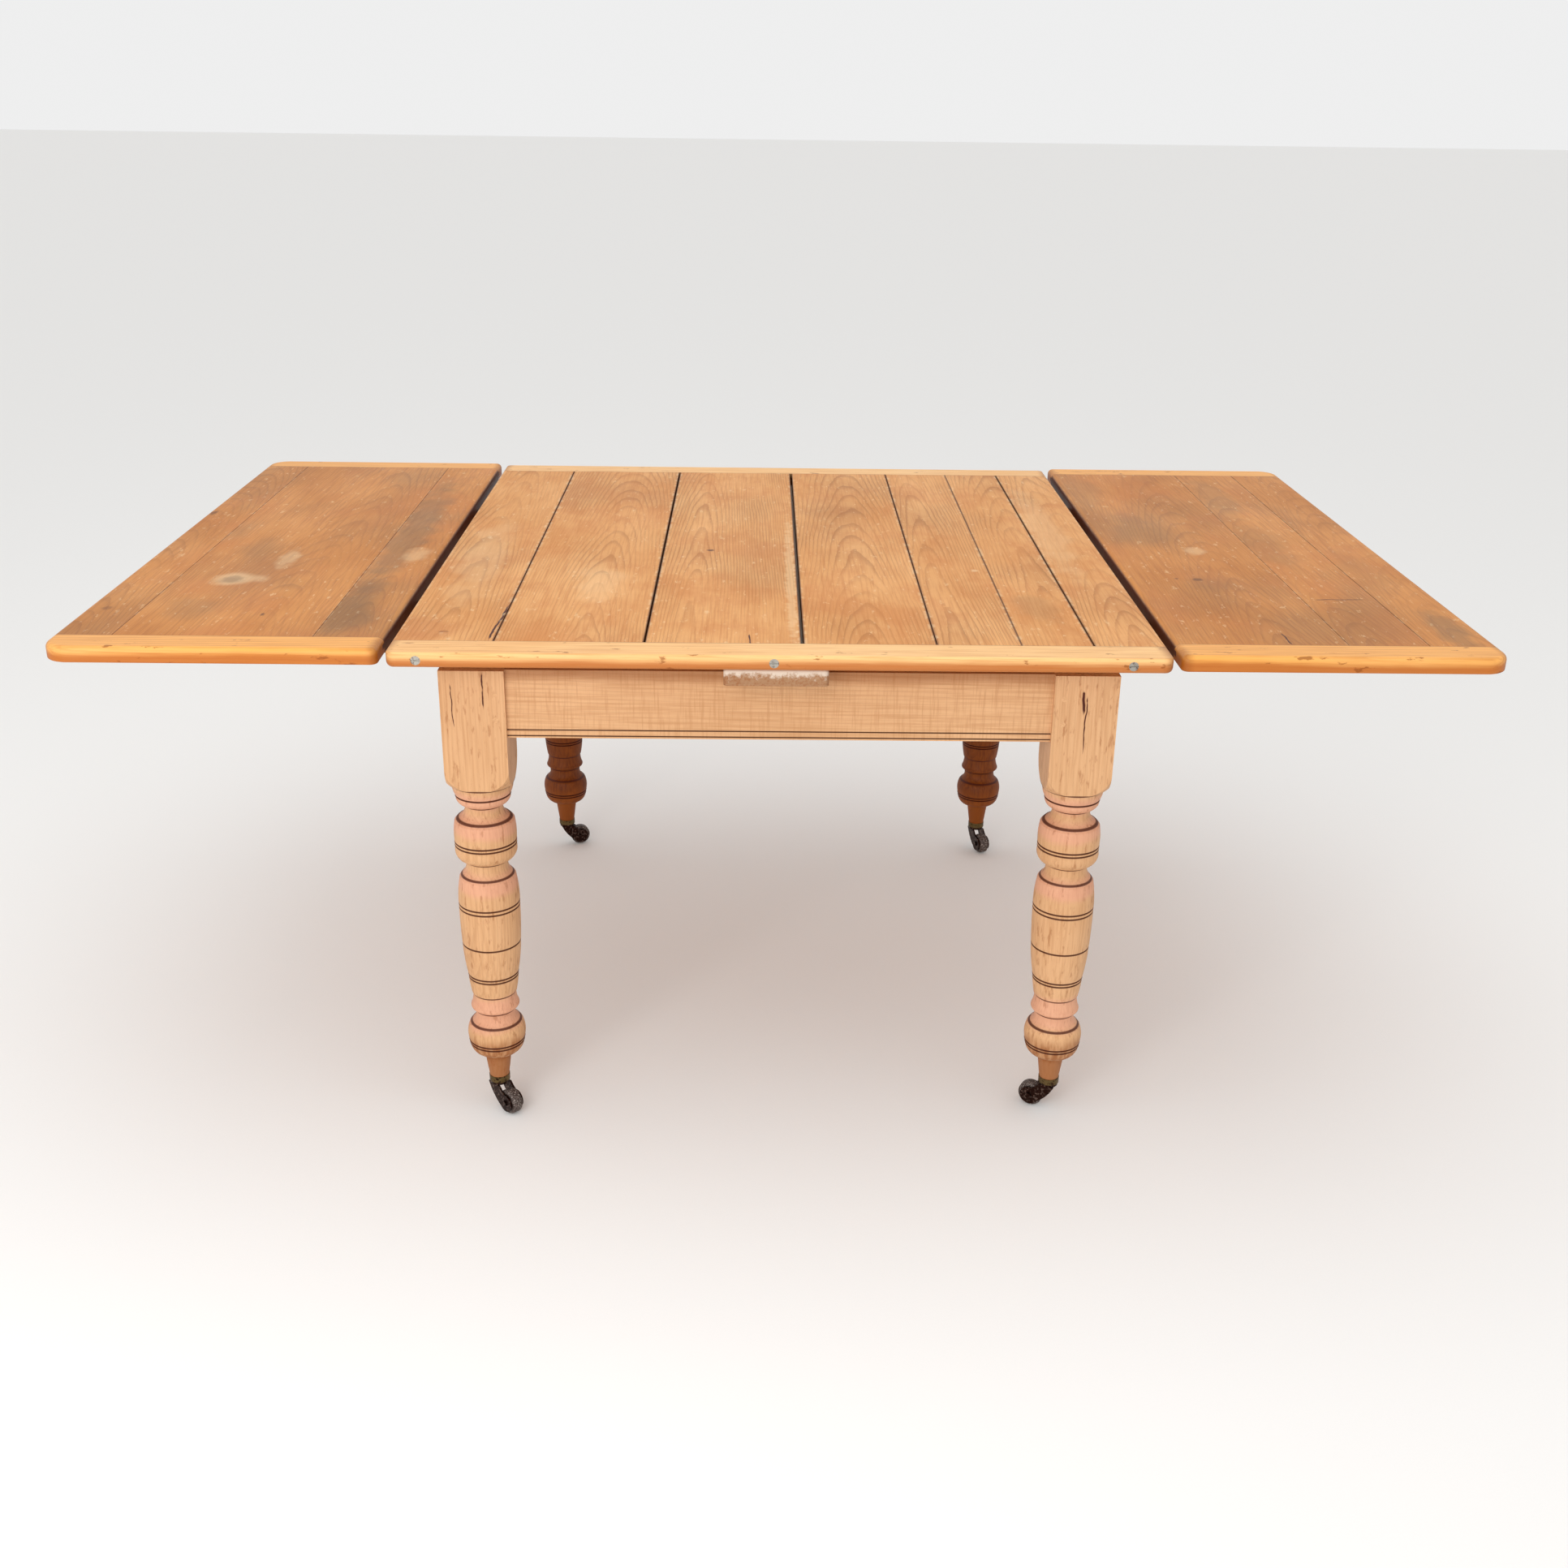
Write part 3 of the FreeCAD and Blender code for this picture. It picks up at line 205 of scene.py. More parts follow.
# Where each group of pieces starts in the pattern of the wood, and the step from one piece to
# the next, so that no two show the same figure.
SEEDS = {"top": (0, 3.1), "clamp": (11, 4), "leaf": (40, 2.3), "leg": (60, 5),
         "frame": (90, 3.3)}
BACK_CLAMP_STEP = 1.7


def seed_of(group, index):
    """Give the seed of a piece in its group."""
    start, step = SEEDS[group]
    return start + index * step


# Turns that bring the grain of a piece to the Y axis of its pattern.
GRAIN_TURN = {"x": (0, 0, math.radians(90)), "y": (0, 0, 0), "z": (math.radians(90), 0, 0)}


class Grain:
    """The figure of a sawn pine board, laid along one axis of the table."""

    def __init__(self, tree, place, axis, seed, ring, fibre, heart, lean):
        shift = (seed * 1.37, seed * 0.71, seed * 0.53)
        along = add(tree, "Mapping", {"Vector": place, "Rotation": GRAIN_TURN[axis]})
        self.seeded = add(tree, "VectorMath", (along, shift), operation="ADD")
        sway = patches(tree, self.seeded, SWAY, 3.0, out="Color")
        sway = add(tree, "VectorMath", (sway, (0.5, 0.5, 0.5)), operation="SUBTRACT")
        sway = add(tree, "VectorMath", (sway, (45 * MM, 0.0, 35 * MM)), operation="MULTIPLY")
        bent = add(tree, "VectorMath", (along, sway), operation="ADD")
        tilted = add(tree, "Mapping", {"Vector": bent, "Location": (-heart[0], 0, -heart[1]),
                                       "Rotation": (math.radians(lean), 0, 0)})
        # A saw wave round the heart: pale early wood rising to a hard, dark late line.
        wave = add(tree, "TexWave", {"Vector": tilted, "Scale": math.tau / 20 / ring,
                                     "Distortion": 0.7, "Detail": 2.0, "Detail Scale": 1.0},
                   "Fac", wave_type="RINGS", rings_direction="Y", wave_profile="SAW")
        streak = [widths * fibre / MM for widths in STREAK]
        self.fibre = patches(tree, self.seeded, streak, 3.0, 0.6)
        self.cloud = patches(tree, self.seeded, CLOUD, 4.0, 0.6)
        self.broad = patches(tree, self.seeded, BROAD)
        self.wax = patches(tree, self.seeded, WAX, 5.0, 0.62)
        self.speck = patches(tree, self.seeded, SPECK, 3.0, 0.7)
        # The lines stand out where the face is scrubbed and sink where it is waxed over.
        shown = add(tree, "MapRange", {"Value": self.broad, "From Min": 0.35, "From Max": 0.62,
                                       "To Min": 0.25}, interpolation_type="SMOOTHSTEP")
        self.rings = band(tree, wave, (0.55, 0.95), (0.95, 1.0), shown)


def spot(tree, place, x, y, wide, deep):
    """Give the distance from a place on the table, ragged, and 1 at the edge of an oval."""
    local = add(tree, "VectorMath", (place, (x, y, 0)), operation="SUBTRACT")
    flat = add(tree, "VectorMath", (local, (1 / wide, 1 / deep, 0)), operation="MULTIPLY")
    far = add(tree, "VectorMath", (flat,), "Value", operation="LENGTH")
    fray = patches(tree, place, (min(wide, deep) / 0.7 / MM,) * 3, 3.0)
    fray = add(tree, "Math", (fray, 1.4, -0.7), operation="MULTIPLY_ADD")
    return add(tree, "Math", (far, fray), operation="ADD")


def split(tree, place, colour, ink, start, end, width):
    """Draw a fine split between two places in a piece, open at its start."""
    run = Vector(end) - Vector(start)
    way = tuple(run.normalized())
    local = add(tree, "VectorMath", (place, start), operation="SUBTRACT")
    along = add(tree, "VectorMath", (local, way), "Value", operation="DOT_PRODUCT")
    bend = patches(tree, place, SPLIT, out="Color")
    bend = add(tree, "VectorMath", (bend, (5 * MM,) * 3, (-2.5 * MM,) * 3),
               operation="MULTIPLY_ADD")
    local = add(tree, "VectorMath", (local, bend), operation="ADD")
    square_on = add(tree, "VectorMath", (local, way), operation="CROSS_PRODUCT")
    off = add(tree, "VectorMath", (square_on,), "Value", operation="LENGTH")
    inside = band(tree, along, (0, 0.1 * run.length), (0.7 * run.length, run.length))
    reach = add(tree, "Math", (inside, width * 2, 0.01 * MM), operation="MULTIPLY_ADD")
    share = add(tree, "Math", (off, reach), operation="DIVIDE")
    return lay(tree, colour, ink, share, 1.0, 0.45, inside)


def finish_wood(tree, shader, grain, colour, gloss):
    """Join colour, gloss and surface relief to the shader of a wooden piece."""
    uneven = add(tree, "Math", (grain.cloud, 0.22, gloss - 0.11), operation="MULTIPLY_ADD")
    relief = add(tree, "Math", (grain.rings, 0.5, grain.fibre), operation="MULTIPLY_ADD")
    relief = add(tree, "Math", (grain.speck, 0.25, relief), operation="MULTIPLY_ADD")
    bump = add(tree, "Bump", {"Height": relief, "Strength": 0.35, "Distance": 0.35 * MM})
    tree.links.new(colour, shader.inputs["Base Color"])
    tree.links.new(uneven, shader.inputs["Roughness"])
    tree.links.new(bump, shader.inputs["Normal"])
    # Scrubbed, unpolished pine shines less than the shader's own level.
    shader.inputs["Specular IOR Level"].default_value = 0.22


# How boards have worn: gloss, and how strongly rings, grey clouds, and chips and dirt along the
# seams show, with the reach of that dirt.
TOP_WEAR = {"gloss": 0.5, "rings": 0.6, "clouding": 0.16, "chips": 0.44, "dirt": 0.70,
            "reach": 2.2 * MM}
LEAF_WEAR = {"gloss": 0.45, "rings": 0.35, "clouding": 0.3, "chips": 0.20, "dirt": 0.40,
             "reach": 1.0 * MM}


def board_material(name, node, light, dark, seed, figure, open_side, wear):
    """Waxed pine board, sawn flat: arched year rings, fine fibre, scrub marks and stains."""
    pine = bpy.context.scene.table_pine
    inks = {"stain": pine.stain_grey, "pale": pine.bare_pale, "knot": pine.dark_varnish_and_shade,
            "warm": pine.clamp_wax_and_shade}
    material, tree, shader, place = new_material(name)
    low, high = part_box(node)
    (aside, depth), lean, marks = figure
    heart = ((low.x + high.x) / 2 + aside, high.z + depth)
    grain = Grain(tree, place, "y", seed, pine.ring_width, pine.fibre_width, heart, lean)
    colour = two_tone(tree, grain, light, dark, 1.1, -0.22)
    colour = lay(tree, colour, deeper(dark, 0.72), grain.rings, force=wear["rings"],
                 ramp="LINEAR")
    colour = lay(tree, colour, dark, grain.fibre, 0.42, 0.72, 0.48)
    colour = lay(tree, colour, pine.warm_wax, grain.wax, 0.44, 0.66, 0.42)
    colour = lay(tree, colour, pine.stain_grey, grain.broad, 0.42, 0.72, wear["clouding"])
    colour = lay(tree, colour, pine.bare_pale, grain.speck, 0.60, 0.72, 0.40)
    for kind, *where in marks:
        if kind == "split":
            colour = split(tree, place, colour, pine.seam_dirt_and_shade, *where)
        else:
            *where, force = where
            colour = lay(tree, colour, inks[kind], spot(tree, place, *where), 1.0, 0.35, force)
    edge = end_distance(tree, place, low.x, high.x)
    reach = wear["reach"]
    chips = add(tree, "MapRange", {"Value": patches(tree, place, CHIP, 3.0), "From Min": 0.5,
                                   "From Max": 0.6, "To Max": wear["chips"]},
                interpolation_type="SMOOTHSTEP")
    colour = lay(tree, colour, pine.bare_pale, edge, reach * 3, reach * 0.45, chips)
    colour = lay(tree, colour, pine.seam_dirt_and_shade, edge, reach, reach * 0.15, wear["dirt"])
    # Painted shade: the side of the board that faces the gap between top and leaf darkens from a
    # few millimetres under its face downwards.
    if open_side:
        height = add(tree, "SeparateXYZ", (place,), "Z")
        across = add(tree, "SeparateXYZ", (place,), "X")
        face = low.x if open_side == "low" else high.x
        inward = add(tree, "Math", (across, face), operation="SUBTRACT")
        inward = add(tree, "Math", (inward,), operation="ABSOLUTE")
        gap_shade = add(tree, "MapRange", {"Value": height, "From Min": high.z - 1.5 * MM,
                                       "From Max": high.z - 5 * MM, "To Max": 0.92},
                    interpolation_type="SMOOTHSTEP")
        colour = lay(tree, colour, pine.seam_dirt_and_shade, inward, 7 * MM, 4 * MM, gap_shade)
    finish_wood(tree, shader, grain, colour, wear["gloss"])
    return material


def clamp_material(name, node, seed, light):
    """Clamp along X: scrubbed yellow and a painted highlight above, orange wax, painted shade and
    knocks low on its rounded edge.
    """
    pine = bpy.context.scene.table_pine
    material, tree, shader, place = new_material(name)
    grain = Grain(tree, place, "x", seed, pine.ring_width * 1.4, pine.fibre_width,
                  (0.0, -0.03), 1.2)
    low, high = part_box(node)
    colour = two_tone(tree, grain, light, pine.top_light, 1.4, -0.35)
    colour = lay(tree, colour, pine.top_dark, grain.rings, force=0.45, ramp="LINEAR")
    colour = lay(tree, colour, pine.top_dark, grain.fibre, 0.42, 0.72, 0.4)
    # Painted shade: the lower part of the rounded edge darkens with wax and shade, and the upper
    # part stays pale as a painted highlight.
    height = add(tree, "SeparateXYZ", (place,), "Z")
    ragged = add(tree, "Math", (grain.cloud, 14 * MM, height), operation="MULTIPLY_ADD")
    ragged = add(tree, "Math", (grain.fibre, 10 * MM, ragged), operation="MULTIPLY_ADD")
    colour = lay(tree, colour, pine.clamp_wax_and_shade, ragged, low.z + 30 * MM, low.z + 20 * MM, 0.85)
    inward = end_distance(tree, place, low.x, high.x)
    inward = add(tree, "Math", (grain.cloud, 30 * MM, inward), operation="MULTIPLY_ADD")
    colour = lay(tree, colour, pine.brown_varnish_and_shade, inward, 30 * MM, 12 * MM, 0.7)
    knocks = patches(tree, place, KNOCK, 4.0, 0.6)
    colour = lay(tree, colour, pine.brown_varnish_and_shade, knocks, 0.64, 0.70, 0.7)
    outer = add(tree, "Math", (add(tree, "SeparateXYZ", (place,), "Y"),), operation="ABSOLUTE")
    rim = max(-low.y, high.y)
    colour = lay(tree, colour, pine.seam_dirt_and_shade, outer, rim - 50.5 * MM, rim - 53 * MM, 0.6)
    finish_wood(tree, shader, grain, colour, 0.42)
    return material


def frame_material(name, axis, seed, light, dark):
    """Stripped pine of the frame: dry, with soft streaks along the grain."""
    pine = bpy.context.scene.table_pine
    material, tree, shader, place = new_material(name)
    grain = Grain(tree, place, axis, seed, pine.ring_width * 1.3, pine.fibre_width,
                  (0.02, -0.09), 1.5)
    colour = two_tone(tree, grain, light, dark, 1.0, -0.2)
    colour = lay(tree, colour, deeper(dark, 0.7), grain.rings, force=0.22, ramp="LINEAR")
    colour = lay(tree, colour, dark, grain.fibre, 0.4, 0.7, 0.5)
    return material, tree, shader, place, grain, colour



# ---------------------------------------------------------------- operators


class PieceOperator:
    """What the piece operators share: they can be undone, and they paint whole pieces."""

    bl_options = {"REGISTER", "UNDO"}

    @staticmethod
    def paint(node, material):
        """Give a piece its one material."""
        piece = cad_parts[node]
        piece.data.materials.clear()
        piece.data.materials.append(material)


# Heart of the tree under each board (X from the board's middle, Z from its face), how far the
# heart leans along it in degrees, and the marks on its face.  Lengths and places are in metres.
# A split is its two ends and its width.  Any other mark is an oval: the X and Y of its middle,
# its half width and half length, and its force.
TOP_FIGURE = {
    1: ((-0.01, -0.05), 2.2, (("split", (-0.393, -0.532, 0.76), (-0.385, -0.335, 0.76), 0.0011),
                              ("knot", -0.459, -0.492, 0.011, 0.004, 0.5),
                              ("warm", -0.49, -0.49, 0.06, 0.09, 0.35),
                              ("pale", -0.46, -0.1, 0.05, 0.3, 0.18))),
    2: ((0.02, -0.07), 2.8, (("pale", -0.27, -0.25, 0.05, 0.12, 0.2),)),
    3: ((-0.05, -0.04), 1.8, (("knot", -0.109, -0.047, 0.009, 0.008, 0.85),
                              ("split", (-0.041, -0.537, 0.76), (-0.042, -0.485, 0.76), 0.0008),
                              ("pale", 0.018, -0.2, 0.010, 0.5, 0.35))),
    4: ((0.0, -0.09), 2.3, (("knot", 0.10, 0.18, 0.07, 0.18, 0.12),)),
    5: ((-0.02, -0.06), 1.6, (("pale", 0.304, -0.155, 0.008, 0.009, 0.5),)),
    6: ((0.03, -0.08), 2.0, (("stain", 0.37, -0.36, 0.04, 0.09, 0.2),)),
    7: ((0.01, -0.07), 2.6, (("pale", 0.45, 0.1, 0.04, 0.4, 0.2),)),
}


class TABLE_OT_top_boards(PieceOperator, bpy.types.Operator):
    """Finish the seven boards of the main top"""

    bl_idname = "table.top_boards"
    bl_label = "Main top boards"

    def execute(self, context):
        pine = context.scene.table_pine
        for index, figure in TOP_FIGURE.items():
            node = "top_board_%d" % index
            open_side = {1: "low", 7: "high"}.get(index)
            self.paint(node, board_material("scrubbed_pine_board_%d" % index, node,
                                            pine.top_light, pine.top_dark,
                                            seed_of("top", index), figure, open_side,
                                            TOP_WEAR))
        return {"FINISHED"}


LEAF_FIGURE = {
    "left_leaf_board_1": ((-0.03, -0.09), 4.0, (("knot", -0.960, 0.154, 0.008, 0.02, 0.6),
                                                ("knot", -0.943, -0.409, 0.010, 0.010, 0.35))),
    "left_leaf_board_2": ((0.05, -0.10), 3.0, (("stain", -0.89, 0.03, 0.05, 0.09, 0.22),
                                               ("stain", -0.817, -0.079, 0.05, 0.09, 0.16),
                                               ("pale", -0.805, -0.255, 0.05, 0.045, 0.42),
                                               ("stain", -0.811, -0.258, 0.026, 0.022, 0.5),
                                               ("pale", -0.757, -0.136, 0.02, 0.07, 0.3),
                                               ("stain", -0.831, -0.405, 0.05, 0.06, 0.2),
                                               ("knot", -0.719, -0.433, 0.004, 0.008, 0.7))),
    "left_leaf_board_3": ((0.0, -0.07), 4.0, (("stain", -0.60, -0.42, 0.05, 0.16, 0.42),
                                              ("stain", -0.60, 0.05, 0.045, 0.45, 0.45),
                                              ("pale", -0.565, -0.11, 0.03, 0.05, 0.3))),
    "right_leaf_board_3": ((0.04, -0.09), 3.5, (("knot", 0.637, -0.209, 0.010, 0.010, 0.6),
                                                ("knot", 0.606, -0.205, 0.005, 0.006, 0.6),
                                                ("stain", 0.65, -0.235, 0.05, 0.05, 0.15),
                                                ("pale", 0.67, -0.039, 0.022, 0.028, 0.3),
                                                ("stain", 0.60, 0.09, 0.06, 0.16, 0.25),
                                                ("stain", 0.56, 0.40, 0.05, 0.2, 0.25),
                                                ("split", (0.69, -0.531, 0.764),
                                                 (0.688, -0.47, 0.764), 0.0008))),
    "right_leaf_board_2": ((-0.02, -0.08), 3.0, (("stain", 0.80, 0.33, 0.04, 0.2, 0.2),
                                                 ("stain", 0.80, 0.0, 0.05, 0.2, 0.2),
                                                 ("split", (0.782, -0.313, 0.764),
                                                  (0.872, -0.310, 0.764), 0.0009))),
    "right_leaf_board_1": ((0.02, -0.08), 4.0, (("stain", 0.93, -0.46, 0.03, 0.14, 0.4),
                                                ("stain", 0.91, -0.16, 0.04, 0.2, 0.15))),
}


class TABLE_OT_leaf_boards(PieceOperator, bpy.types.Operator):
    """Finish the boards of both leaves, darker because they lay under the main top"""

    bl_idname = "table.leaf_boards"
    bl_label = "Leaf boards"

    def execute(self, context):
        pine = context.scene.table_pine
        inner = {"left_leaf_board_3": "high", "right_leaf_board_3": "low"}
        for index, (node, figure) in enumerate(LEAF_FIGURE.items()):
            self.paint(node, board_material("waxed_leaf_pine_%d" % (index + 1), node,
                                            pine.leaf_light, pine.leaf_dark,
                                            seed_of("leaf", index), figure,
                                            inner.get(node), LEAF_WEAR))
        return {"FINISHED"}


class TABLE_OT_clamps(PieceOperator, bpy.types.Operator):
    """Finish the six clamps that cover the boards' ends"""

    bl_idname = "table.clamps"
    bl_label = "Clamps"

    def execute(self, context):
        pine = context.scene.table_pine
        for index, part in enumerate(("top_clamp", "left_leaf_clamp", "right_leaf_clamp")):
            for side in ("front", "back"):
                node = "%s_%s" % (part, side)
                seed = seed_of("clamp", index) + (BACK_CLAMP_STEP if side == "back" else 0)
                light = pine.clamp_scrub_and_highlight if index == 0 else pine.leaf_clamp
                self.paint(node, clamp_material("edge_worn_pine_" + node, node, seed, light))
        return {"FINISHED"}


# Heights on the turned legs, in metres: dark cut lines of dirt and painted shade, and where the
# pink primer was left.
CUT_LINES = (0.118, 0.123, 0.152, 0.173, 0.201, 0.229, 0.234, 0.285, 0.344, 0.350, 0.395, 0.417,
             0.443, 0.448, 0.483, 0.504, 0.520, 0.537)
PINK_ZONES = ((0.150, 0.200), (0.375, 0.400), (0.465, 0.490), (0.503, 0.530))
RESIDUE_ZONE = (0.098, 0.130)
# Drying splits in the front blocks, in metres: both ends and the width.
BLOCK_SPLITS = {
    "front_left": (((-0.404, -0.527, 0.715), (-0.405, -0.527, 0.650), 0.0007),
                   ((-0.448, -0.527, 0.700), (-0.446, -0.527, 0.620), 0.0005)),
    "front_right": (((0.415, -0.527, 0.695), (0.416, -0.527, 0.655), 0.0012),
                    ((0.420, -0.527, 0.690), (0.419, -0.527, 0.590), 0.0006)),
}


def leg_material(name, seed, light, dark, primer, splits):
    """Turned leg: pine up the grain, dirt and painted shade in every cut line, pink primer left
    in the hollows.
    """
    pine = bpy.context.scene.table_pine
    material, tree, shader, place, grain, colour = frame_material(name, "z", seed, light, dark)
    height = add(tree, "SeparateXYZ", (place,), "Z")
    ragged = add(tree, "Math", (height, 15 * MM), operation="SUBTRACT")
    ragged = add(tree, "Math", (grain.cloud, 30 * MM, ragged), operation="MULTIPLY_ADD")
    for low, high in PINK_ZONES:
        inside = band(tree, ragged, (low - 8 * MM, low + 6 * MM), (high - 8 * MM, high + 8 * MM),
                      primer)
        colour = lay(tree, colour, pine.primer_pink, inside, ramp="LINEAR")
    low, high = RESIDUE_ZONE
    smears = add(tree, "MapRange", {"Value": patches(tree, place, RESIDUE, 3.0),
                                    "From Min": 0.35, "From Max": 0.6, "To Min": 0.36,
                                    "To Max": 0.76}, interpolation_type="SMOOTHSTEP")
    inside = band(tree, ragged, (low - 12 * MM, low), (high - 10 * MM, high + 12 * MM), smears)
    colour = lay(tree, colour, pine.brown_varnish_and_shade, inside, ramp="LINEAR")
    colour = lay(tree, colour, pine.brown_varnish_and_shade, height, 104 * MM, 92 * MM, 0.72)
    smudge = patches(tree, grain.seeded, SMUDGE, 4.0, 0.6)
    colour = lay(tree, colour, pine.brown_varnish_and_shade, smudge, 0.56, 0.68, 0.4)
    for line in splits:
        colour = split(tree, place, colour, pine.seam_dirt_and_shade, *line)
    # Dirt and painted shade: a dark line at each cut of the turning.
    nearest = 1.0
    for line in CUT_LINES:
        away = add(tree, "Math", (height, line), operation="SUBTRACT")
        away = add(tree, "Math", (away,), operation="ABSOLUTE")
        nearest = add(tree, "Math", (nearest, away), operation="MINIMUM")
    colour = lay(tree, colour, pine.seam_dirt_and_shade, nearest, 2.0 * MM, 0.8 * MM, 0.9)
    finish_wood(tree, shader, grain, colour, 0.55)
    return material


class TABLE_OT_legs(PieceOperator, bpy.types.Operator):
    """Finish the four turned legs, stripped in front and still brown behind, in tones darkened as
    painted shade
    """

    bl_idname = "table.legs"
    bl_label = "Legs"

    def execute(self, context):
        pine = context.scene.table_pine
        for index, corner in enumerate(CORNERS):
            front = corner.startswith("front")
            # Behind, the legs take the brown varnish tones, darkened as painted shade.
            light = pine.frame_light if front else pine.brown_varnish_and_shade
            dark = pine.frame_dark if front else pine.dark_varnish_and_shade
            primer = 0.42 if front else 0.0
            self.paint("leg_" + corner, leg_material("turned_pine_leg_" + corner,
                                                     seed_of("leg", index), light, dark, primer,
                                                     BLOCK_SPLITS.get(corner, ())))
        return {"FINISHED"}


class TABLE_OT_frame(PieceOperator, bpy.types.Operator):
    """Finish the aprons, draw pegs, bearer, guide rails and runners"""

    bl_idname = "table.frame"
    bl_label = "Frame and runners"

    def execute(self, context):
        pine = context.scene.table_pine
        stripped = (pine.frame_light, pine.frame_dark)
        brown = (pine.brown_varnish_and_shade, pine.dark_varnish_and_shade)
        weathered = (pine.bearer_grey, pine.brown_varnish_and_shade)
        pieces = [("apron_front", "x", stripped), ("apron_left", "y", stripped),
                  ("apron_right", "y", stripped), ("apron_back", "x", stripped),
                  ("draw_pegs", "y", stripped), ("centre_bearer", "y", weathered),
                  ("guide_rail_left", "y", weathered), ("guide_rail_right", "y", weathered),
                  ("guide_pegs", "z", weathered)]
        for side in ("left", "right"):
            pieces += [("%s_runner_front" % side, "x", weathered),
                       ("%s_runner_back" % side, "x", weathered),
                       ("%s_stop_pegs" % side, "y", brown)]
        for index, (node, axis, tones) in enumerate(pieces):
            low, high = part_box(node)
            material, tree, shader, place, grain, colour = frame_material(
                "frame_pine_" + node, axis, seed_of("frame", index), *tones)
            if node in ("apron_front", "apron_back"):
                colour = self.saw_marks(tree, place, colour, tones[1])
                # Painted shadow: the apron darkens towards its top edge, under the overhang of
                # the top.
                rise = add(tree, "SeparateXYZ", (place,), "Z")
                rise = add(tree, "Math", (grain.cloud, 20 * MM, rise), operation="MULTIPLY_ADD")
                colour = lay(tree, colour, pine.brown_varnish_and_shade, rise, high.z - 12 * MM,
                             high.z + 4 * MM, 0.5)
                colour = self.bead_lines(tree, place, colour, low.z)
            if node == "centre_bearer":
                height = add(tree, "SeparateXYZ", (place,), "Z")
                bare = add(tree, "Math", (grain.speck, 30 * MM, height),
                           operation="MULTIPLY_ADD")
                colour = lay(tree, colour, pine.bearer_pale, bare, high.z + 2 * MM,
                             high.z + 12 * MM)
            finish_wood(tree, shader, grain, colour, 0.62)
            self.paint(node, material)
        return {"FINISHED"}

    @staticmethod
    def saw_marks(tree, place, colour, dark):
        """Lay the fine upright marks of the saw across an apron."""
        return lay(tree, colour, dark, patches(tree, place, SAW), 0.45, 0.75, 0.5)

    @staticmethod
    def bead_lines(tree, place, colour, bottom):
        """Darken the two quirks beside the bead along an apron's lower edge."""
        height = add(tree, "SeparateXYZ", (place,), "Z")
        for rise in (3.2 * MM, 11.7 * MM):
            away = add(tree, "Math", (height, bottom + rise), operation="SUBTRACT")
            away = add(tree, "Math", (away,), operation="ABSOLUTE")
            colour = lay(tree, colour, bpy.context.scene.table_pine.seam_dirt_and_shade, away, 1.5 * MM,
                         0.5 * MM, 0.85)
        return colour


def metal_material(name, bright, worn, rough, metallic=1.0, grit=4.0):
    """Old metal: two tones in blotches of a size in millimetres, rougher where it is dirty."""
    material, tree, shader, place = new_material(name)
    blotch = patches(tree, place, (grit,) * 3, 4.0, 0.65)
    colour = lay(tree, tuple(bright), worn, blotch, 0.5, 0.66)
    gloss = add(tree, "Math", (blotch, -0.3, rough + 0.15), operation="MULTIPLY_ADD")
    bump = add(tree, "Bump", {"Height": blotch, "Strength": 0.4, "Distance": 0.3 * MM})
    tree.links.new(colour, shader.inputs["Base Color"])
    tree.links.new(gloss, shader.inputs["Roughness"])
    tree.links.new(bump, shader.inputs["Normal"])
    shader.inputs["Metallic"].default_value = metallic
    return material


class TABLE_OT_fasteners(PieceOperator, bpy.types.Operator):
    """Finish the screws"""

    bl_idname = "table.fasteners"
    bl_label = "Screws"

    def execute(self, context):
        metal = context.scene.table_metal
        steel = metal_material("zinc_grey_steel", metal.steel, metal.iron_worn, 0.45)
        for node in ("clamp_screws", "edge_screws", "bearer_screws", "left_leaf_screws",
                     "right_leaf_screws"):
            self.paint(node, steel)
        return {"FINISHED"}


class TABLE_OT_castors(PieceOperator, bpy.types.Operator):
    """Finish the castors and their brass collars"""

    bl_idname = "table.castors"
    bl_label = "Castors"

    def execute(self, context):
        metal = context.scene.table_metal
        iron = metal_material("japanned_iron", metal.iron, metal.iron_worn, 0.35)
        # Painted glints with the dust: fine pale specks over the dark wheel.
        wheel = metal_material("scraped_wheel", metal.wheel, metal.dust_and_glint, 0.6, 0.2, 1.6)
        brass = metal_material("tarnished_brass", metal.brass, metal.iron, 0.4)
        self.paint("castor_collars", brass)
        for corner in CORNERS:
            self.paint("castor_fork_" + corner, iron)
            self.paint("castor_axle_" + corner, iron)
            self.paint("castor_wheel_" + corner, wheel)
        return {"FINISHED"}


# Where the camera stands, in metres, and how it is turned, in radians.
CAMERA_PLACE = Vector((-0.0291, -2.7189, 1.4611))
CAMERA_YAW, CAMERA_PITCH, CAMERA_ROLL = 0.0165, 0.3924, 0.0138
# Place, turn and width of each light, in metres and radians.
OVERHEAD_LIGHT = ((0.2, -0.4, 3.2), (0, 0, 0), 3.2)
FRONT_LIGHT = ((-1.2, -3.4, 1.7), (math.radians(72), 0, math.radians(-18)), 2.2)


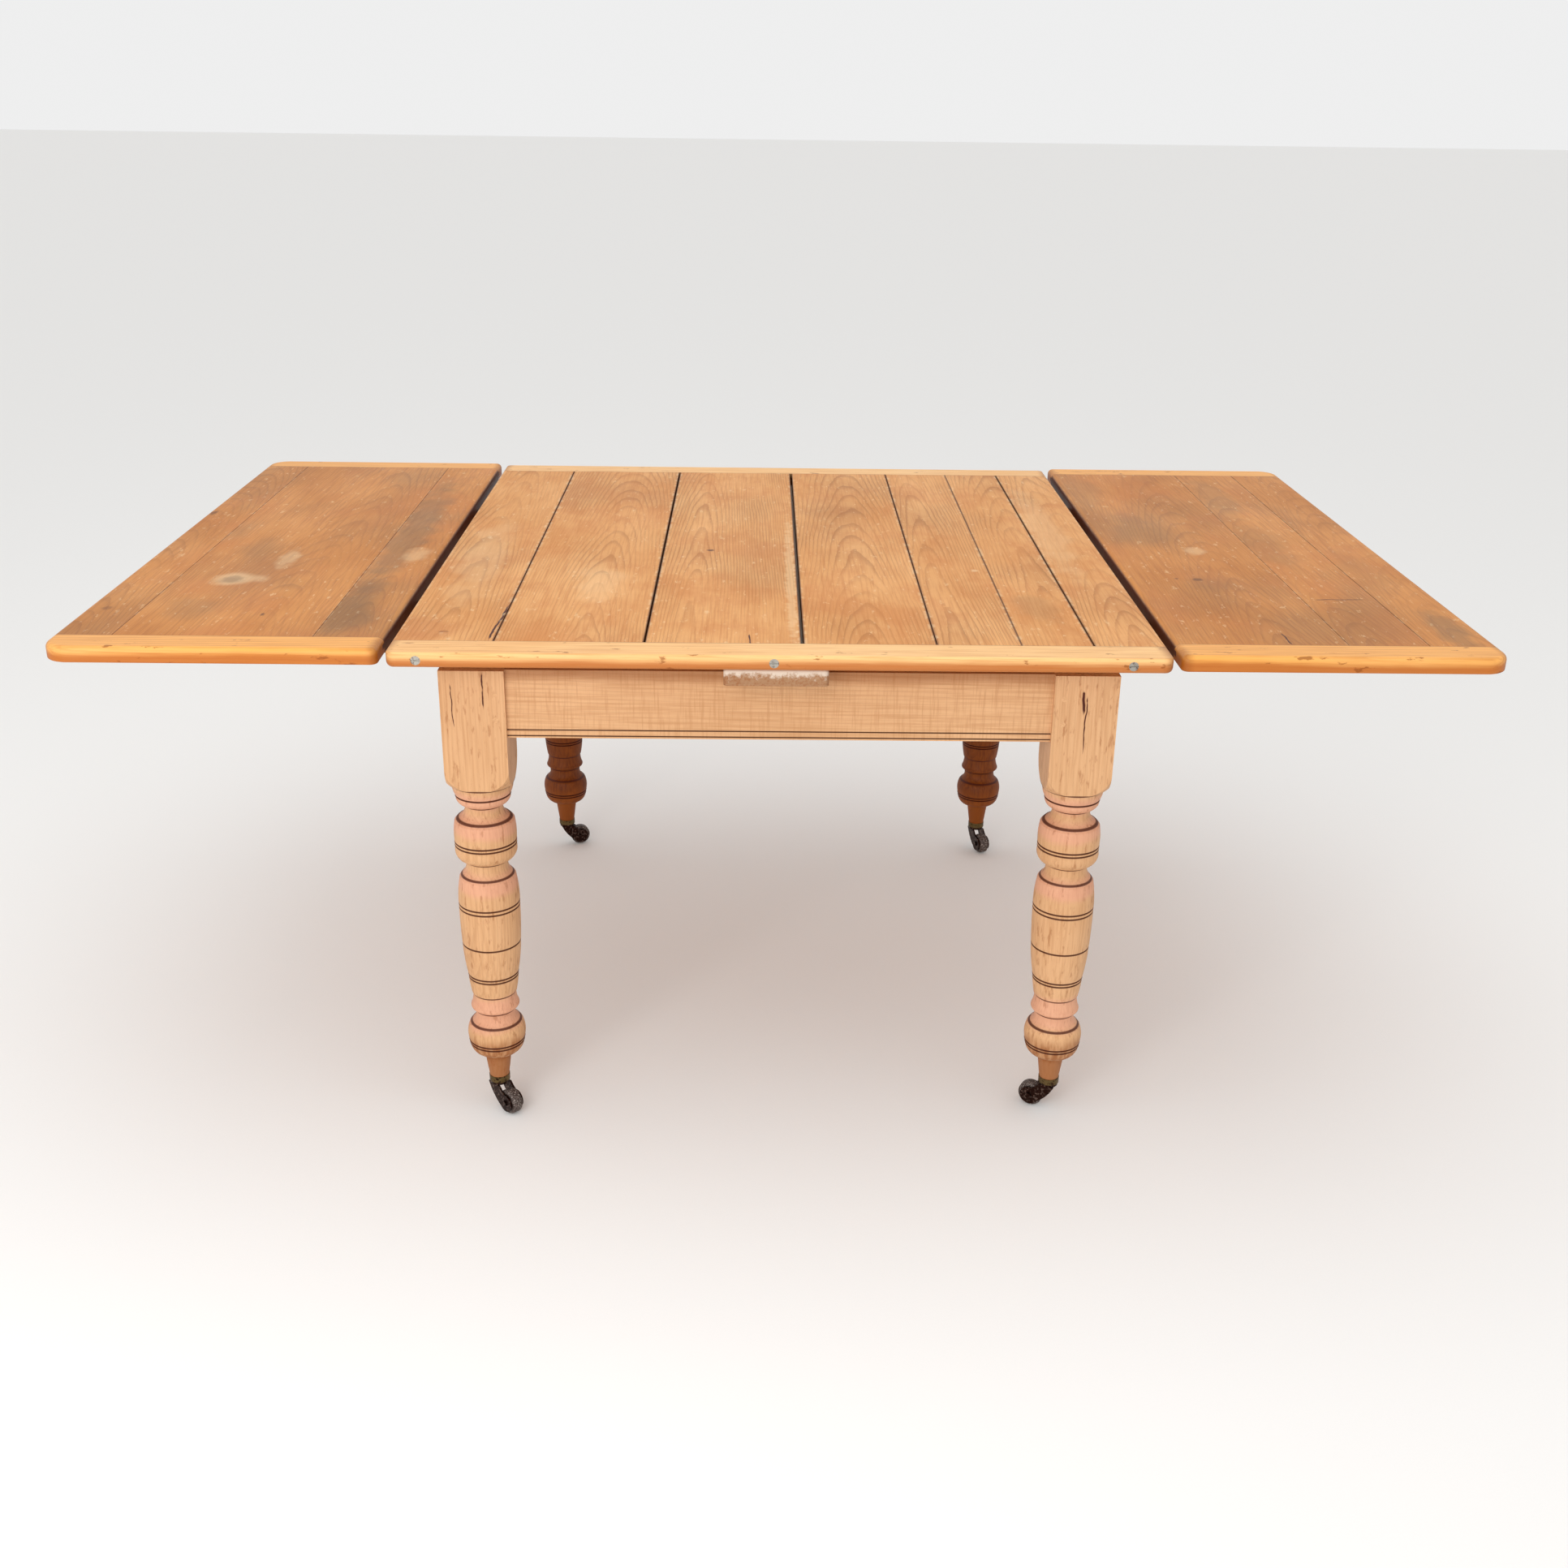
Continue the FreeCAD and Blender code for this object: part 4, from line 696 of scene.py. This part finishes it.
class TABLE_OT_stage(bpy.types.Operator):
    """Set the floor, the soft studio light and the camera"""

    bl_idname = "table.stage"
    bl_label = "Stage"

    def execute(self, context):
        stage = context.scene.table_stage
        self.add_floor(stage)
        self.add_sky(context.scene, stage)
        self.add_light("overhead_light", *OVERHEAD_LIGHT, stage.key_power)
        self.add_light("front_light", *FRONT_LIGHT, stage.front_power)
        self.add_camera(context.scene, stage)
        return {"FINISHED"}

    @staticmethod
    def add_floor(stage):
        """A wide plain floor a hair under the castors."""
        mesh = bmesh.new()
        bmesh.ops.create_grid(mesh, x_segments=1, y_segments=1, size=40)
        bmesh.ops.translate(mesh, verts=mesh.verts, vec=(0, 4, -0.2 * MM))
        data = bpy.data.meshes.new("floor")
        mesh.to_mesh(data)
        mesh.free()
        floor = bpy.data.objects.new("floor", data)
        bpy.context.scene.collection.objects.link(floor)
        material, tree, shader, place = new_material("pale_floor")
        colour = lay(tree, tuple(stage.floor_tone), deeper(stage.floor_tone, 0.97),
                     patches(tree, place, FLOOR), ramp="LINEAR")
        tree.links.new(colour, shader.inputs["Base Color"])
        shader.inputs["Roughness"].default_value = 0.9
        data.materials.append(material)

    @staticmethod
    def add_sky(scene, stage):
        """Even white light from all round."""
        world = bpy.data.worlds.new("studio")
        world.use_nodes = True
        sky = next(n for n in world.node_tree.nodes if n.type == "BACKGROUND")
        sky.inputs["Color"].default_value = (1, 1, 1, 1)
        sky.inputs["Strength"].default_value = stage.sky_strength
        scene.world = world

    @staticmethod
    def add_light(name, place, turn, width, power):
        """A large soft light."""
        data = bpy.data.lights.new(name, "AREA")
        data.size = width
        data.energy = power
        light = bpy.data.objects.new(name, data)
        light.location = place
        light.rotation_euler = turn
        bpy.context.scene.collection.objects.link(light)

    @staticmethod
    def add_camera(scene, stage):
        """The camera at standing height in front of the table, looking a little down."""
        data = bpy.data.cameras.new("camera")
        data.lens = stage.camera_lens
        data.sensor_width = 36
        forward = Vector((math.sin(CAMERA_YAW) * math.cos(CAMERA_PITCH),
                          math.cos(CAMERA_YAW) * math.cos(CAMERA_PITCH),
                          -math.sin(CAMERA_PITCH)))
        level = Vector((math.cos(CAMERA_YAW), -math.sin(CAMERA_YAW), 0))
        upright = level.cross(forward)
        right = level * math.cos(CAMERA_ROLL) + upright * math.sin(CAMERA_ROLL)
        up = upright * math.cos(CAMERA_ROLL) - level * math.sin(CAMERA_ROLL)
        camera = bpy.data.objects.new("camera", data)
        camera.matrix_world = Matrix.Translation(CAMERA_PLACE) @ Matrix(
            (right, up, -forward)).transposed().to_4x4()
        scene.collection.objects.link(camera)
        scene.camera = camera
        scene.view_settings.view_transform = "Standard"


# ---------------------------------------------------------------- panel and registration


STEPS = (TABLE_OT_top_boards, TABLE_OT_leaf_boards, TABLE_OT_clamps, TABLE_OT_legs,
         TABLE_OT_frame, TABLE_OT_fasteners, TABLE_OT_castors, TABLE_OT_stage)
GROUPS = {"table_pine": PineSettings, "table_metal": MetalSettings, "table_stage": StageSettings}


class TABLE_PT_panel(bpy.types.Panel):
    """Lists the table's pieces and settings in the sidebar"""

    bl_idname = "TABLE_PT_panel"
    bl_label = "Draw-leaf Table"
    bl_space_type = "VIEW_3D"
    bl_region_type = "UI"
    bl_category = "Table"

    def draw(self, context):
        for step in STEPS:
            self.layout.operator(step.bl_idname)
        for group in GROUPS:
            box = self.layout.box()
            for name in getattr(context.scene, group).bl_rna.properties.keys():
                if name not in ("rna_type", "name"):
                    box.prop(getattr(context.scene, group), name)


def register():
    """Register the settings, operators and panel."""
    for name, group in GROUPS.items():
        bpy.utils.register_class(group)
        setattr(bpy.types.Scene, name, PointerProperty(type=group))
    for step in STEPS:
        bpy.utils.register_class(step)
    bpy.utils.register_class(TABLE_PT_panel)


def unregister():
    """Remove everything that register added."""
    bpy.utils.unregister_class(TABLE_PT_panel)
    for step in reversed(STEPS):
        bpy.utils.unregister_class(step)
    for name, group in GROUPS.items():
        delattr(bpy.types.Scene, name)
        bpy.utils.unregister_class(group)


def main():
    """Register, and run every step in order."""
    register()
    for step in STEPS:
        space, name = step.bl_idname.split(".")
        getattr(getattr(bpy.ops, space), name)()


if __name__ == "__main__":
    main()
